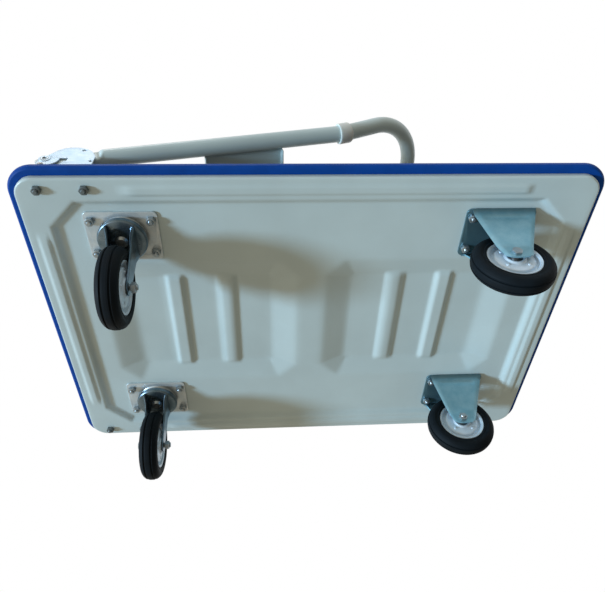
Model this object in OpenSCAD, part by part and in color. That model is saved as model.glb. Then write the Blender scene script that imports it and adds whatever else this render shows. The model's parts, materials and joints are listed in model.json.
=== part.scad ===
// Folding platform cart: pressed steel deck, fold-down tube handle, two swivel and two rigid casters.
// Origin on the floor under the middle of the deck, +X towards the rigid casters, +Z up.
// The handle is modelled folded over the deck, which is joint value 0.

/* [Deck] */
// Length of the deck over its bumper
deck_l = 906; // [860:2:960]
// Width of the deck over its bumper
deck_w = 612; // [606:2:640]
// Height of the pan's rim above the floor
rim_z = 147; // [145:1:155]
// Thickness of the pan's sheet steel
sheet = 1.5; // [1.2:0.1:2]
// Height of the caster panel above the rim
panel_rise = 8; // [6:1:10]
// Height of the two load panels above the rim
load_rise = 20; // [18:1:22]
// Thickness of the rubber mat
mat_t = 3.5; // [3:0.5:4]
// How far the mat's load field stands above its border
field_rise = 0.8; // [0.5:0.1:1.2]

/* [Bumper] */
// How far the bumper stands out from the pan's skirt
bumper_t = 13; // [12:0.5:14]
// Corner radius over the bumper
corner_r = 42; // [40:1:44]

/* [Handle] */
// Outside diameter of the handle tube
tube_d = 28; // [26:1:30]
// Wall of the handle tube
tube_wall = 1.5; // [1.2:0.1:2]
// Distance of each leg from the cart's middle line
leg_y = 276; // [272:1:278]
// Angle of the folded legs above the deck
fold_deg = 14; // [12:0.5:16]
// Pivot to the bend at the top of a leg
leg_len = 494; // [470:2:510]
// Bend between a leg and the loop
kink_deg = 15.6; // [10:0.2:20]
// Straight part of the loop before its corner
loop_straight = 72; // [60:1:80]
// Corner radius of the loop on the tube's middle line
loop_r = 96; // [80:1:110]

/* [Hinge] */
// Pivot distance from the deck's middle, along the deck
pivot_x = 415.5; // [412:0.5:418]
// Pivot height above the rim
pivot_rise = 81.6; // [78:0.2:84]
// Radius of the path of the lock bar about the pivot
lock_r = 27; // [26:0.5:28]
// Angle the handle turns from folded to upright
swing_deg = 80; // [76:1:84]
// Depth of the lock notch
notch = 3; // [2:0.5:4]

/* [Casters] */
// Radius of the wheels
wheel_r = 62.5; // [60:0.5:65]
// Width of the tyres
tyre_w = 33; // [30:0.5:34]
// Distance of the swivel axes from the middle, along the deck
swivel_x = 297; // [294:1:300]
// Distance of the rigid axles from the middle, along the deck
rigid_x = 292; // [290:1:298]
// Distance of the casters from the middle, across the deck
caster_y = 191; // [188:1:194]
// Trail of the swivel wheels
trail = 31; // [28:0.5:34]

/* [Hidden] */
left = 1;
right = -1;
sides = [left, right];
round_fn = 64;
tiny = 0.01;
cut = 1;

// Deck levels, measured up from the floor
panel_z = rim_z + panel_rise;
load_z = rim_z + load_rise;
mat_z = load_z + sheet;
deck_z = mat_z + mat_t;
pan_l = deck_l - 2 * bumper_t;
pan_w = deck_w - 2 * bumper_t;
pan_r = corner_r - bumper_t;
// Pressed panels: half length, half width and corner cut
panel = [401, 256, 43];
panel_in = [393, 248, 40];
load_x = 188.5;
load_out = [164.5, 139, 33];
load_in = [119.5, 100, 6];
rib_x = [-43.5, 43.5];
rib_half = 118;
bead_end_long = [-281, 330];
bead_y = 273;
bead_x = 417;
bead_half_short = 192;
bead_drop = 3;
// Load field of the mat, clear of the hinge brackets: length, width and corner radius
field = [820, 500, 12];
// M8 fasteners
bolt_r = 3.95;
hole_r = 4.3;
nut_r = 7.5;
nut_h = 6.5;
bolt_head_h = 3.6;
hinge_bolt_x = [-405, -338];
bolt_gap_x = 92;
bolt_gap_y = 58;
rigid_plate_x = 297;

// Hinge
gap_half = 7;
cheek_t = 2.5;
lug_half = 6.7;
pivot_z = rim_z + pivot_rise;
bracket_x = [-424, -340];
dome_x = -383.5;
dome_r = 46;
dome_z = rim_z + 76.5;
base_t = 2.5;
pivot_r = 5;
fit = 0.05;
lock_bar_r = 4;
lock_deg = fold_deg - 99;
slot_r = 4.4;
tube_r = tube_d / 2;
tube_start = 80;
spigot = 25;

// Casters, heights from the floor
plate_t = 3;
plate_l = 112;
plate_w = 88;
plate_z = panel_z - plate_t;
crown_z = plate_z - 15;
crown_t = 3.3;
leg_gap = 19.5;
leg_t = 2.5;
leg_edge = 41;
leg_bend_z = 80;
axle_z = wheel_r;
axle_r = 5;
bush_r = 7.5;
bearing_r = 11.5;
hub_r = 14.5;
rim_r = 38;
seat_r = 41;
ball_ring_r = 28;
ball_r = 2.5;
ball_count = 18;

// ---------- shared shapes ----------
module rounded_rect(l, w, r) {
    square([l - 2 * r, w], center = true);
    square([l, w - 2 * r], center = true);
    for (i = [-1, 1], j = [-1, 1])
        translate([i * (l / 2 - r), j * (w / 2 - r)])
            circle(r, $fn = round_fn);
}

module octagon(s) {
    polygon([[s[0] - s[2], s[1]], [s[0], s[1] - s[2]], [s[0], s[2] - s[1]], [s[0] - s[2], -s[1]],
        [s[2] - s[0], -s[1]], [-s[0], s[2] - s[1]], [-s[0], s[1] - s[2]], [s[2] - s[0], s[1]]]);
}

// A panel that tapers from one octagon to a smaller one above it
module dished(low, high, z0, z1) {
    hull() {
        translate([0, 0, z0])
            linear_extrude(tiny)
                octagon(low);
        translate([0, 0, z1 - tiny])
            linear_extrude(tiny)
                octagon(high);
    }
}

module nut() {
    difference() {
        cylinder(h = nut_h, r = nut_r, $fn = 6);
        translate([0, 0, -cut])
            cylinder(h = nut_h + 2 * cut, r = bolt_r + fit, $fn = round_fn);
    }
}

module tube(h, r, wall) {
    difference() {
        cylinder(h = h, r = r, $fn = round_fn);
        translate([0, 0, -cut])
            cylinder(h = h + 2 * cut, r = r - wall, $fn = round_fn);
    }
}

function grow(s, d) = [s[0] + d, s[1] + d, s[2]];

// ---------- deck ----------
module pan_hole_axes() {
    for (x = hinge_bolt_x, s = sides)
        translate([x, s * leg_y, 0])
            children();
    caster_bolt_axes()
        children();
}

module caster_bolt_axes() {
    for (x = [-swivel_x, rigid_plate_x], s = sides, i = [-0.5, 0.5], j = [-0.5, 0.5])
        translate([x + i * bolt_gap_x, s * caster_y + j * bolt_gap_y, 0])
            children();
}

// Pressed channel of sheet, open at the top: half width at the crest, half width at the foot
module channel(crest, foot, drop) {
    polygon([[-foot, 0], [-crest, -drop], [crest, -drop], [foot, 0], [foot, sheet],
        [foot - 0.6, sheet], [crest - 0.6, sheet - drop], [0.6 - crest, sheet - drop],
        [0.6 - foot, sheet], [-foot, sheet]]);
}

module along_x(x0, x1) {
    translate([x0, 0, 0])
        rotate([90, 0, 90])
            linear_extrude(x1 - x0)
                children();
}

module along_y(y0, y1) {
    translate([0, y1, 0])
        rotate([90, 0, 0])
            linear_extrude(y1 - y0)
                children();
}

module rim_beads() {
    for (s = sides) {
        translate([0, s * bead_y, rim_z])
            along_x(bead_end_long[0], bead_end_long[1])
                children();
        translate([s * bead_x, 0, rim_z])
            along_y(-bead_half_short, bead_half_short)
                children();
    }
}

module load_ribs() {
    for (s = sides, x = rib_x)
        translate([s * load_x + x, 0, load_z])
            along_y(-rib_half, rib_half)
                children();
}

module deck_pan() {
    color("#a9b7b4")
        difference() {
            union() {
                difference() {
                    union() {
                        translate([0, 0, rim_z])
                            linear_extrude(sheet)
                                rounded_rect(pan_l, pan_w, pan_r);
                        dished(grow(panel, 1), grow(panel_in, 1), rim_z, panel_z + sheet);
                        for (s = sides)
                            translate([s * load_x, 0, 0])
                                dished(grow(load_out, 1), grow(load_in, 1), panel_z, load_z + sheet);
                    }
                    dished(panel, panel_in, rim_z - tiny, panel_z);
                    for (s = sides)
                        translate([s * load_x, 0, 0])
                            dished(load_out, load_in, panel_z - tiny, load_z);
                    rim_beads()
                        translate([-8.4, -cut])
                            square([16.8, sheet + 2 * cut]);
                    load_ribs()
                        translate([-16.4, -cut])
                            square([32.8, sheet + 2 * cut]);
                }
                rim_beads()
                    channel(6, 9, bead_drop);
                load_ribs()
                    channel(10, 17, 6);
                translate([0, 0, rim_z])
                    linear_extrude(deck_z - rim_z)
                        difference() {
                            rounded_rect(pan_l, pan_w, pan_r);
                            rounded_rect(pan_l - 2 * sheet, pan_w - 2 * sheet, pan_r - sheet);
                        }
            }
            pan_hole_axes()
                translate([0, 0, rim_z - cut])
                    cylinder(h = panel_rise + 2 * cut + sheet, r = hole_r, $fn = round_fn);
        }
}

module deck_mat() {
    color("#4c5052")
        difference() {
            union() {
                translate([0, 0, mat_z])
                    linear_extrude(mat_t)
                        rounded_rect(pan_l - 2 * sheet, pan_w - 2 * sheet, pan_r - sheet);
                translate([0, 0, mat_z + cut])
                    linear_extrude(mat_t - cut + field_rise)
                        rounded_rect(field[0], field[1], field[2]);
            }
            for (x = hinge_bolt_x, s = sides)
                translate([x, s * leg_y, mat_z - cut])
                    cylinder(h = mat_t + 2 * cut, r = hole_r, $fn = round_fn);
        }
}

// Section of the bumper: x outwards from the skirt, y up from the rim
module bumper_section() {
    top = deck_z - rim_z;
    polygon([[0, 8], [bumper_t - 4, 8], [bumper_t, 11.5], [bumper_t, 21.5], [bumper_t - 2.5, top + 1],
        [bumper_t - 6, top + 2], [-3, top + 2], [-3, top], [0, top]]);
}

module edge_bumper() {
    run_x = deck_l / 2 - corner_r;
    run_y = deck_w / 2 - corner_r;
    color("#0b4aa0")
        translate([0, 0, rim_z]) {
            for (a = [0, 180])
                rotate([0, 0, a]) {
                    translate([pan_l / 2, 0, 0])
                        along_y(-run_y, run_y)
                            bumper_section();
                    rotate([0, 0, 90])
                        translate([pan_w / 2, 0, 0])
                            along_y(-run_x, run_x)
                                bumper_section();
                    translate([run_x, run_y, 0])
                        rotate_extrude(angle = 90, $fn = 2 * round_fn)
                            translate([pan_r, 0])
                                bumper_section();
                    translate([run_x, -run_y, 0])
                        rotate([0, 0, -90])
                            rotate_extrude(angle = 90, $fn = 2 * round_fn)
                                translate([pan_r, 0])
                                    bumper_section();
                }
        }
}

// ---------- hinge ----------
// Steel block between rim and mat that takes the clamping of the hinge bolts
module hinge_supports() {
    color("#8f9696")
        for (s = sides)
            difference() {
                translate([bracket_x[0], s * leg_y - 11, rim_z + sheet])
                    cube([bracket_x[1] - bracket_x[0], 22, mat_z - rim_z - sheet]);
                for (x = hinge_bolt_x)
                    translate([x, s * leg_y, rim_z])
                        cylinder(h = mat_z - rim_z + cut, r = hole_r, $fn = round_fn);
            }
}

// Arc slot about the pivot with a square radial notch at each end, in the hinge's own x and z
module lock_slot() {
    intersection() {
        difference() {
            circle(lock_r + slot_r, $fn = 2 * round_fn);
            circle(lock_r - slot_r, $fn = 2 * round_fn);
        }
        polygon([[0, 0], for (a = [-10, swing_deg / 2 - 25, swing_deg / 2 + 25, swing_deg + 10])
            60 * [cos(lock_deg + a), sin(lock_deg + a)]]);
    }
    for (a = [lock_deg, lock_deg + swing_deg])
        rotate(a)
            translate([lock_r, -slot_r])
                square([notch + slot_r, 2 * slot_r]);
}

module cheek_outline() {
    intersection() {
        union() {
            translate([dome_x, dome_z])
                circle(dome_r, $fn = 2 * round_fn);
            translate([bracket_x[0] - 10, deck_z])
                square([bracket_x[1] - bracket_x[0] + 20, dome_z - deck_z]);
        }
        polygon([[bracket_x[0], deck_z], [bracket_x[0], rim_z + 75.5], [-404, rim_z + 119],
            [-395, rim_z + 140], [bracket_x[1], rim_z + 140], [bracket_x[1], deck_z]]);
    }
}

module hinge_bracket(side) {
    color("#cfd8dd")
        translate([0, side * leg_y, 0]) {
            for (s = sides)
                translate([0, s * (gap_half + cheek_t / 2), 0])
                    difference() {
                        along_y(-cheek_t / 2, cheek_t / 2)
                            cheek_outline();
                        along_y(-cheek_t, cheek_t)
                            translate([-pivot_x, pivot_z])
                                lock_slot();
                        translate([-pivot_x, 0, pivot_z])
                            rotate([90, 0, 0])
                                cylinder(h = 10, r = pivot_r + fit, center = true, $fn = round_fn);
                        translate([-344, 0, rim_z + 73])
                            rotate([90, 0, 0])
                                cylinder(h = 10, r = 2.5, center = true, $fn = round_fn);
                        translate([-361, 0, rim_z + 118])
                            rotate([90, 0, 0])
                                cylinder(h = 10, r = 4, center = true, $fn = round_fn);
                    }
            difference() {
                translate([bracket_x[0], -gap_half - cheek_t, deck_z])
                    cube([bracket_x[1] - bracket_x[0], 2 * (gap_half + cheek_t), base_t]);
                for (x = hinge_bolt_x)
                    translate([x, 0, deck_z - cut])
                        cylinder(h = base_t + 2 * cut, r = hole_r, $fn = round_fn);
            }
        }
}

module hinge_bolts() {
    head_z = deck_z + base_t;
    color("#b9bec2")
        for (x = hinge_bolt_x, s = sides)
            translate([x, s * leg_y, 0]) {
                translate([0, 0, head_z])
                    cylinder(h = bolt_head_h, r1 = 6.6, r2 = 4.5, $fn = round_fn);
                translate([0, 0, rim_z - nut_h - 3])
                    cylinder(h = head_z - rim_z + nut_h + 3, r = bolt_r, $fn = round_fn);
            }
}

module hinge_nuts() {
    color("#9da3a8")
        for (x = hinge_bolt_x, s = sides)
            translate([x, s * leg_y, rim_z - nut_h])
                nut();
}

// Tubular rivet, flared at both ends
module pivot_rivet(side) {
    half = gap_half + cheek_t;
    color("#c2c8cc")
        translate([-pivot_x, side * leg_y, pivot_z])
            rotate([90, 0, 0])
                difference() {
                    union() {
                        cylinder(h = 2 * half, r = pivot_r, center = true, $fn = round_fn);
                        for (s = sides)
                            translate([0, 0, s * (half + 0.8)])
                                cylinder(h = 1.6, r = 7, center = true, $fn = round_fn);
                    }
                    cylinder(h = 4 * half, r = 3.2, center = true, $fn = round_fn);
                }
}

// ---------- handle ----------
// Places its children at a pivot with +X along the folded leg; side 0 is midway between the legs
module on_leg(side) {
    translate([-pivot_x, side * leg_y, pivot_z])
        rotate([0, -fold_deg, 0])
            children();
}

module handle_lug(side) {
    arm = lock_deg - fold_deg;
    color("#98a29f")
        on_leg(side) {
            difference() {
                along_y(-lug_half, lug_half)
                    difference() {
                        union() {
                            circle(15, $fn = round_fn);
                            translate([0, -12])
                                square([tube_start, 24]);
                            rotate(arm) {
                                translate([0, -10])
                                    square([lock_r + notch / 2, 20]);
                                translate([lock_r + notch / 2, 0])
                                    circle(10, $fn = round_fn);
                            }
                        }
                        rotate(arm) {
                            for (r = [lock_r, lock_r + notch])
                                translate([r, 0])
                                    circle(lock_bar_r + 0.1, $fn = round_fn);
                            translate([lock_r, -lock_bar_r - 0.1])
                                square([notch, 2 * lock_bar_r + 0.2]);
                        }
                    }
                rotate([90, 0, 0])
                    cylinder(h = 40, r = pivot_r + fit, center = true, $fn = round_fn);
            }
            translate([tube_start - tiny, 0, 0])
                rotate([0, 90, 0])
                    cylinder(h = spigot, r = tube_r - tube_wall - fit, $fn = round_fn);
        }
}

// Half spaces beyond the mitre seen from the leg, and before it seen from the loop
module beyond_mitre() {
    rotate([0, -kink_deg / 2, 0])
        translate([0, -50, -50])
            cube([100, 100, 100]);
}

module before_mitre() {
    rotate([0, kink_deg / 2, 0])
        translate([-100, -50, -50])
            cube([100, 100, 100]);
}

module handle_leg(side) {
    color("#9fb0ae")
        on_leg(side)
            difference() {
                translate([tube_start, 0, 0])
                    rotate([0, 90, 0])
                        tube(leg_len - tube_start + tube_r, tube_r, tube_wall);
                translate([leg_len, 0, 0])
                    beyond_mitre();
            }
}

// Places its children at the bend with +X along the loop
module on_loop(side) {
    on_leg(side)
        translate([leg_len, 0, 0])
            rotate([0, -kink_deg, 0])
                children();
}

module handle_loop() {
    half_bar = leg_y - loop_r;
    color("#9fb0ae") {
        for (s = sides)
            on_loop(s) {
                difference() {
                    translate([-tube_r, 0, 0])
                        rotate([0, 90, 0])
                            tube(loop_straight + tube_r, tube_r, tube_wall);
                    before_mitre();
                }
                translate([loop_straight, -s * loop_r, 0])
                    rotate([0, 0, s == left ? 0 : -90])
                        rotate_extrude(angle = 90, $fn = 2 * round_fn)
                            translate([loop_r, 0])
                                difference() {
                                    circle(tube_r, $fn = round_fn);
                                    circle(tube_r - tube_wall, $fn = round_fn);
                                }
            }
        on_loop(left)
            translate([loop_straight + loop_r, -loop_r, 0])
                rotate([90, 0, 0])
                    tube(2 * half_bar, tube_r, tube_wall);
    }
}

// Straight sleeve over the bend, bored along the leg and along the loop
module joint_collar(side) {
    collar_r = tube_r + 4;
    reach = 10.5;
    color("#d3d7d2")
        on_leg(side)
            translate([leg_len, 0, 0])
                difference() {
                    rotate([0, 90 - kink_deg / 2, 0])
                        cylinder(h = 2 * reach, r = collar_r, center = true, $fn = round_fn);
                    translate([6, 0, 0])
                        rotate([0, -90, 0])
                            cylinder(h = 40, r = tube_r, $fn = round_fn);
                    rotate([0, 90 - kink_deg, 0])
                        translate([0, 0, -6])
                            cylinder(h = 40, r = tube_r, $fn = round_fn);
                }
}

// Folded sheet between the legs: flat web with a flange at each end, turned towards the deck
module cross_plate() {
    web = [245, 380];
    flange = 14;
    half = leg_y - tube_r;
    color("#8ea19d")
        on_leg(0) {
            translate([web[0], -half, -sheet / 2])
                cube([web[1] - web[0], 2 * half, sheet]);
            for (x = [web[0], web[1] - sheet])
                translate([x, -half, -flange])
                    cube([sheet, 2 * half, flange]);
        }
}

// ---------- lock ----------
module on_lock() {
    translate([-pivot_x, 0, pivot_z])
        rotate([0, -lock_deg, 0])
            translate([lock_r, 0, 0])
                rotate([90, 0, 0])
                    children();
}

module lock_bar() {
    color("#b4babd")
        on_lock()
            cylinder(h = 2 * leg_y + 32, r = lock_bar_r, center = true, $fn = round_fn);
}

module lock_bar_clips() {
    color("#8c9194")
        on_lock()
            for (s = sides)
                translate([0, 0, s * (leg_y + 12.2)])
                    difference() {
                        cylinder(h = 2, r = 7.5, center = true, $fn = round_fn);
                        cylinder(h = 4, r = lock_bar_r + tiny, center = true, $fn = round_fn);
                    }
}

// ---------- caster fasteners ----------
module caster_bolts() {
    shank = sheet + plate_t + nut_h + 3;
    color("#b9bec2")
        caster_bolt_axes()
            translate([0, 0, panel_z + sheet]) {
                cylinder(h = bolt_head_h, r1 = 8, r2 = 5, $fn = round_fn);
                translate([0, 0, -shank])
                    cylinder(h = shank, r = bolt_r, $fn = round_fn);
            }
}

module caster_nuts() {
    color("#aab1b6")
        caster_bolt_axes()
            translate([0, 0, plate_z - nut_h])
                nut();
}

// ---------- casters ----------
module top_plate() {
    difference() {
        translate([0, 0, plate_z])
            linear_extrude(plate_t)
                rounded_rect(plate_l, plate_w, 6);
        for (i = [-0.5, 0.5], j = [-0.5, 0.5])
            translate([i * bolt_gap_x, j * bolt_gap_y, plate_z - cut])
                cylinder(h = plate_t + 2 * cut, r = hole_r, $fn = round_fn);
    }
}

module swivel_seat(side) {
    translate([-swivel_x, side * caster_y, 0])
        children();
}

module swivel_axle_seat(side) {
    swivel_seat(side)
        translate([0, trail, axle_z])
            rotate([0, 90, 0])
                children();
}

module rigid_axle_seat(side) {
    translate([rigid_x, side * caster_y, axle_z])
        rotate([90, 0, 0])
            children();
}

// Top plate with the upper ball race pressed down from it
module swivel_plate(side) {
    color("#c3cfd6")
        swivel_seat(side)
            difference() {
                union() {
                    top_plate();
                    translate([0, 0, plate_z])
                        rotate_extrude($fn = 2 * round_fn)
                            polygon([[0, 0], [0, -5.5], [20, -5.5], [25, -6], [28, -6.2], [31, -6],
                                [33, -3], [35, 0]]);
                }
                translate([0, 0, plate_z - 10])
                    cylinder(h = 20, r = 6 + fit, $fn = round_fn);
            }
}

module kingpin(side) {
    color("#9aa1a6")
        swivel_seat(side) {
            translate([0, 0, crown_z - 0.2])
                cylinder(h = panel_z - crown_z + 0.2, r = 6, $fn = round_fn);
            translate([0, 0, crown_z - 4.7])
                cylinder(h = 4.5, r1 = 7, r2 = 10, $fn = round_fn);
        }
}

module swivel_balls(side) {
    color("#e1e4e6")
        swivel_seat(side)
            for (i = [0 : ball_count - 1])
                rotate([0, 0, i * 360 / ball_count])
                    translate([ball_ring_r, 0, crown_z + crown_t + ball_r + 0.1])
                        sphere(ball_r, $fn = 24);
}

// Leg outline from the crown to the axle boss, x along the trail and y up
module swivel_leg_outline() {
    top = crown_z + crown_t;
    difference() {
        union() {
            polygon([[-30, top], [-30, top - 9], [-8, top - 24], [trail - 12, axle_z - 2],
                [trail + 12.5, axle_z + 3], [33, top - 20], [30, top]]);
            translate([trail, axle_z])
                circle(13, $fn = round_fn);
        }
        translate([trail, axle_z])
            circle(axle_r + fit, $fn = round_fn);
    }
}

module swivel_fork(side) {
    color("#bccad2")
        swivel_seat(side)
            difference() {
                union() {
                    for (s = sides)
                        translate([s * (leg_gap + leg_t / 2) - leg_t / 2, 0, 0])
                            rotate([90, 0, 90])
                                linear_extrude(leg_t)
                                    swivel_leg_outline();
                    translate([0, 0, crown_z])
                        cylinder(h = crown_t, r = 36.5, $fn = 2 * round_fn);
                    translate([0, 0, crown_z])
                        rotate_extrude($fn = 2 * round_fn)
                            polygon([[33.5, 0], [36.5, 0], [38.5, 2], [38.5, 9], [36.5, 9],
                                [36.5, crown_t]]);
                }
                translate([0, 0, crown_z - cut])
                    cylinder(h = 20, r = 6 + fit, $fn = round_fn);
            }
}

// Hex bolt across the fork, its head on the lower side of its own axis
module axle_bolt() {
    span = leg_gap + leg_t;
    color("#b7c4cb") {
        translate([0, 0, -span - 6])
            cylinder(h = 6, r = 8.5, $fn = 6);
        translate([0, 0, -span])
            cylinder(h = 2 * span + 10, r = axle_r, $fn = round_fn);
    }
}

module axle_nut() {
    color("#b7c4cb")
        translate([0, 0, leg_gap + leg_t])
            difference() {
                cylinder(h = 7.5, r = 8.5, $fn = 6);
                translate([0, 0, -cut])
                    cylinder(h = 12, r = axle_r + fit, $fn = round_fn);
            }
}

module axle_bush() {
    color("#7f868a")
        difference() {
            cylinder(h = 2 * leg_gap, r = bush_r, center = true, $fn = round_fn);
            cylinder(h = 4 * leg_gap, r = axle_r + fit, center = true, $fn = round_fn);
        }
}

module wheel_bearing() {
    color("#8a8f92")
        difference() {
            cylinder(h = 30, r = bearing_r, center = true, $fn = round_fn);
            cylinder(h = 40, r = bush_r + fit, center = true, $fn = round_fn);
        }
}

// Two pressed dishes on a hub tube, with four rivet holes between hub and rim
module wheel_rim() {
    color("#a4abad")
        difference() {
            rotate_extrude($fn = 2 * round_fn)
                difference() {
                    polygon([[bearing_r + fit, -16], [hub_r, -16], [hub_r + 2, -11], [24, -8],
                        [32, -9], [rim_r - 1, -13], [seat_r - 0.5, -14.5], [seat_r, -13.5],
                        [seat_r, 13.5], [seat_r - 0.5, 14.5], [rim_r - 1, 13], [32, 9], [24, 8],
                        [hub_r + 2, 11], [hub_r, 16], [bearing_r + fit, 16]]);
                    polygon([[hub_r + 1, -8.5], [24, -6.2], [32, -7.2], [rim_r + 0.5, -11],
                        [rim_r + 0.5, 11], [32, 7.2], [24, 6.2], [hub_r + 1, 8.5]]);
                }
            for (a = [0, 90, 180, 270])
                rotate([0, 0, a])
                    translate([27, 0, 0])
                        cylinder(h = 60, r = 2, center = true, $fn = 24);
        }
}

// Solid rubber tyre with two grooves in the tread
module wheel_tyre() {
    half = tyre_w / 2;
    groove = wheel_r - 2.5;
    color("#191b1d")
        rotate_extrude($fn = 2 * round_fn)
            polygon([[seat_r, -13.5], [seat_r + 4, -half], [wheel_r - 9, -half],
                [wheel_r - 3, 2.5 - half], [wheel_r - 0.8, -8.5], [groove - 0.4, -7.5],
                [groove, -5.5], [wheel_r, -4.5], [wheel_r, 4.5], [groove, 5.5],
                [groove - 0.4, 7.5], [wheel_r - 0.8, 8.5], [wheel_r - 3, half - 2.5],
                [wheel_r - 9, half], [seat_r + 4, half], [seat_r, 13.5]]);
}

// Plate and both legs pressed from one blank
// Plan of one rigid leg seen along the cart: upright beside the wheel, then sloping out to the plate's edge
module rigid_leg_side(s) {
    foot = axle_z - 20;
    polygon([[s * leg_gap, foot], [s * (leg_gap + leg_t), foot], [s * (leg_gap + leg_t), leg_bend_z],
        [s * leg_edge, plate_z + tiny], [s * (leg_edge - leg_t), plate_z + tiny],
        [s * leg_gap, leg_bend_z + 0.4]]);
}

module rigid_fork(side) {
    leg_top = plate_z + cut;
    color("#bccad2")
        translate([0, side * caster_y, 0]) {
            translate([rigid_plate_x, 0, 0])
                top_plate();
            for (s = sides)
                intersection() {
                    along_x(rigid_x - 60, rigid_x + 80)
                        rigid_leg_side(s);
                    translate([rigid_x, 0, 0])
                        along_y(-60, 60)
                            difference() {
                                polygon([[-44, leg_top], [-17, axle_z - 2], [-10, axle_z - 12],
                                    [14, axle_z - 12], [24, axle_z - 2], [58, leg_top]]);
                                translate([0, axle_z])
                                    circle(axle_r + fit, $fn = round_fn);
                            }
                }
        }
}

deck_pan();
deck_mat();
edge_bumper();
hinge_supports();
hinge_bracket(left);  // hinge_bracket_left
hinge_bracket(right);  // hinge_bracket_right
hinge_bolts();
hinge_nuts();
pivot_rivet(left);  // pivot_rivet_left
pivot_rivet(right);  // pivot_rivet_right
handle_lug(left);  // handle_lug_left
handle_lug(right);  // handle_lug_right
handle_leg(left);  // handle_leg_left
handle_leg(right);  // handle_leg_right
handle_loop();
joint_collar(left);  // joint_collar_left
joint_collar(right);  // joint_collar_right
cross_plate();
lock_bar();
lock_bar_clips();
caster_bolts();
caster_nuts();
swivel_plate(left);  // swivel_plate_left
swivel_plate(right);  // swivel_plate_right
kingpin(left);  // kingpin_left
kingpin(right);  // kingpin_right
swivel_balls(left);  // swivel_balls_left
swivel_balls(right);  // swivel_balls_right
swivel_fork(left);  // swivel_fork_left
swivel_fork(right);  // swivel_fork_right
swivel_axle_seat(left) axle_bolt();  // swivel_axle_left
swivel_axle_seat(right) axle_bolt();  // swivel_axle_right
swivel_axle_seat(left) axle_nut();  // swivel_axle_nut_left
swivel_axle_seat(right) axle_nut();  // swivel_axle_nut_right
swivel_axle_seat(left) axle_bush();  // swivel_bush_left
swivel_axle_seat(right) axle_bush();  // swivel_bush_right
swivel_axle_seat(left) wheel_bearing();  // swivel_bearing_left
swivel_axle_seat(right) wheel_bearing();  // swivel_bearing_right
swivel_axle_seat(left) wheel_rim();  // swivel_rim_left
swivel_axle_seat(right) wheel_rim();  // swivel_rim_right
swivel_axle_seat(left) wheel_tyre();  // swivel_tyre_left
swivel_axle_seat(right) wheel_tyre();  // swivel_tyre_right
rigid_fork(left);  // rigid_fork_left
rigid_fork(right);  // rigid_fork_right
rigid_axle_seat(left) axle_bolt();  // rigid_axle_left
rigid_axle_seat(right) mirror([0, 0, 1]) axle_bolt();  // rigid_axle_right
rigid_axle_seat(left) axle_nut();  // rigid_axle_nut_left
rigid_axle_seat(right) mirror([0, 0, 1]) axle_nut();  // rigid_axle_nut_right
rigid_axle_seat(left) axle_bush();  // rigid_bush_left
rigid_axle_seat(right) axle_bush();  // rigid_bush_right
rigid_axle_seat(left) wheel_bearing();  // rigid_bearing_left
rigid_axle_seat(right) wheel_bearing();  // rigid_bearing_right
rigid_axle_seat(left) wheel_rim();  // rigid_rim_left
rigid_axle_seat(right) wheel_rim();  // rigid_rim_right
rigid_axle_seat(left) wheel_tyre();  // rigid_tyre_left
rigid_axle_seat(right) wheel_tyre();  // rigid_tyre_right
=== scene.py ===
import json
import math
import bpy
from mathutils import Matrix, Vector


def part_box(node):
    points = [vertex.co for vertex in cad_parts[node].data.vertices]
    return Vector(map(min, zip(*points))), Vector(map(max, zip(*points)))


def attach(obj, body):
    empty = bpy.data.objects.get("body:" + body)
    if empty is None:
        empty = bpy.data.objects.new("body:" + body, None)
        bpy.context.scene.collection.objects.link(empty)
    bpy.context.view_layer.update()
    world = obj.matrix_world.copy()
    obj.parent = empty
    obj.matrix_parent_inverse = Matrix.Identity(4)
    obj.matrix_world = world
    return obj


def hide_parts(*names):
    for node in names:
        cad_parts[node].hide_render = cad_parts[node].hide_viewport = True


bl_info = {
    "name": "Folding Platform Cart",
    "version": (1, 0, 0),
    "blender": (4, 5, 0),
    "location": "View3D > Sidebar > Cart",
    "description": "Builds the finished surfaces of a folding platform cart around its packed parts",
    "category": "Add Mesh",
}

import bmesh
import bpy
import numpy as np
from bpy.props import FloatProperty, FloatVectorProperty, PointerProperty
from mathutils import Matrix, Vector

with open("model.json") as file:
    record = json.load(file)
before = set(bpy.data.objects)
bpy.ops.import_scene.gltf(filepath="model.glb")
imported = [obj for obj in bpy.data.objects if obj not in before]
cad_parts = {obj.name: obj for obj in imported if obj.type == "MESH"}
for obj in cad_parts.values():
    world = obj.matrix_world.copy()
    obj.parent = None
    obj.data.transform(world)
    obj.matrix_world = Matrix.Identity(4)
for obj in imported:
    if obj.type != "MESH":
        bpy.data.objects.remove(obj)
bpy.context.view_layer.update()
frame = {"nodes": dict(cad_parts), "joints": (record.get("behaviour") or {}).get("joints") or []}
MM = 0.001
SIDES = ("left", "right")
SHARP = math.radians(32)


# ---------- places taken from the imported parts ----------
def box_mm(node):
    """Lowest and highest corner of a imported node, in millimetres."""
    low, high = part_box(node)
    return np.array(low) / MM, np.array(high) / MM


def joint_place(name):
    """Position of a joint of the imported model, in millimetres."""
    place = [j for j in frame["joints"] if j["name"] == name][0]["pos_m"]
    return np.array(place) / MM


def middle(node):
    """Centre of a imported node's box, in millimetres."""
    low, high = box_mm(node)
    return (low + high) / 2


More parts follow.
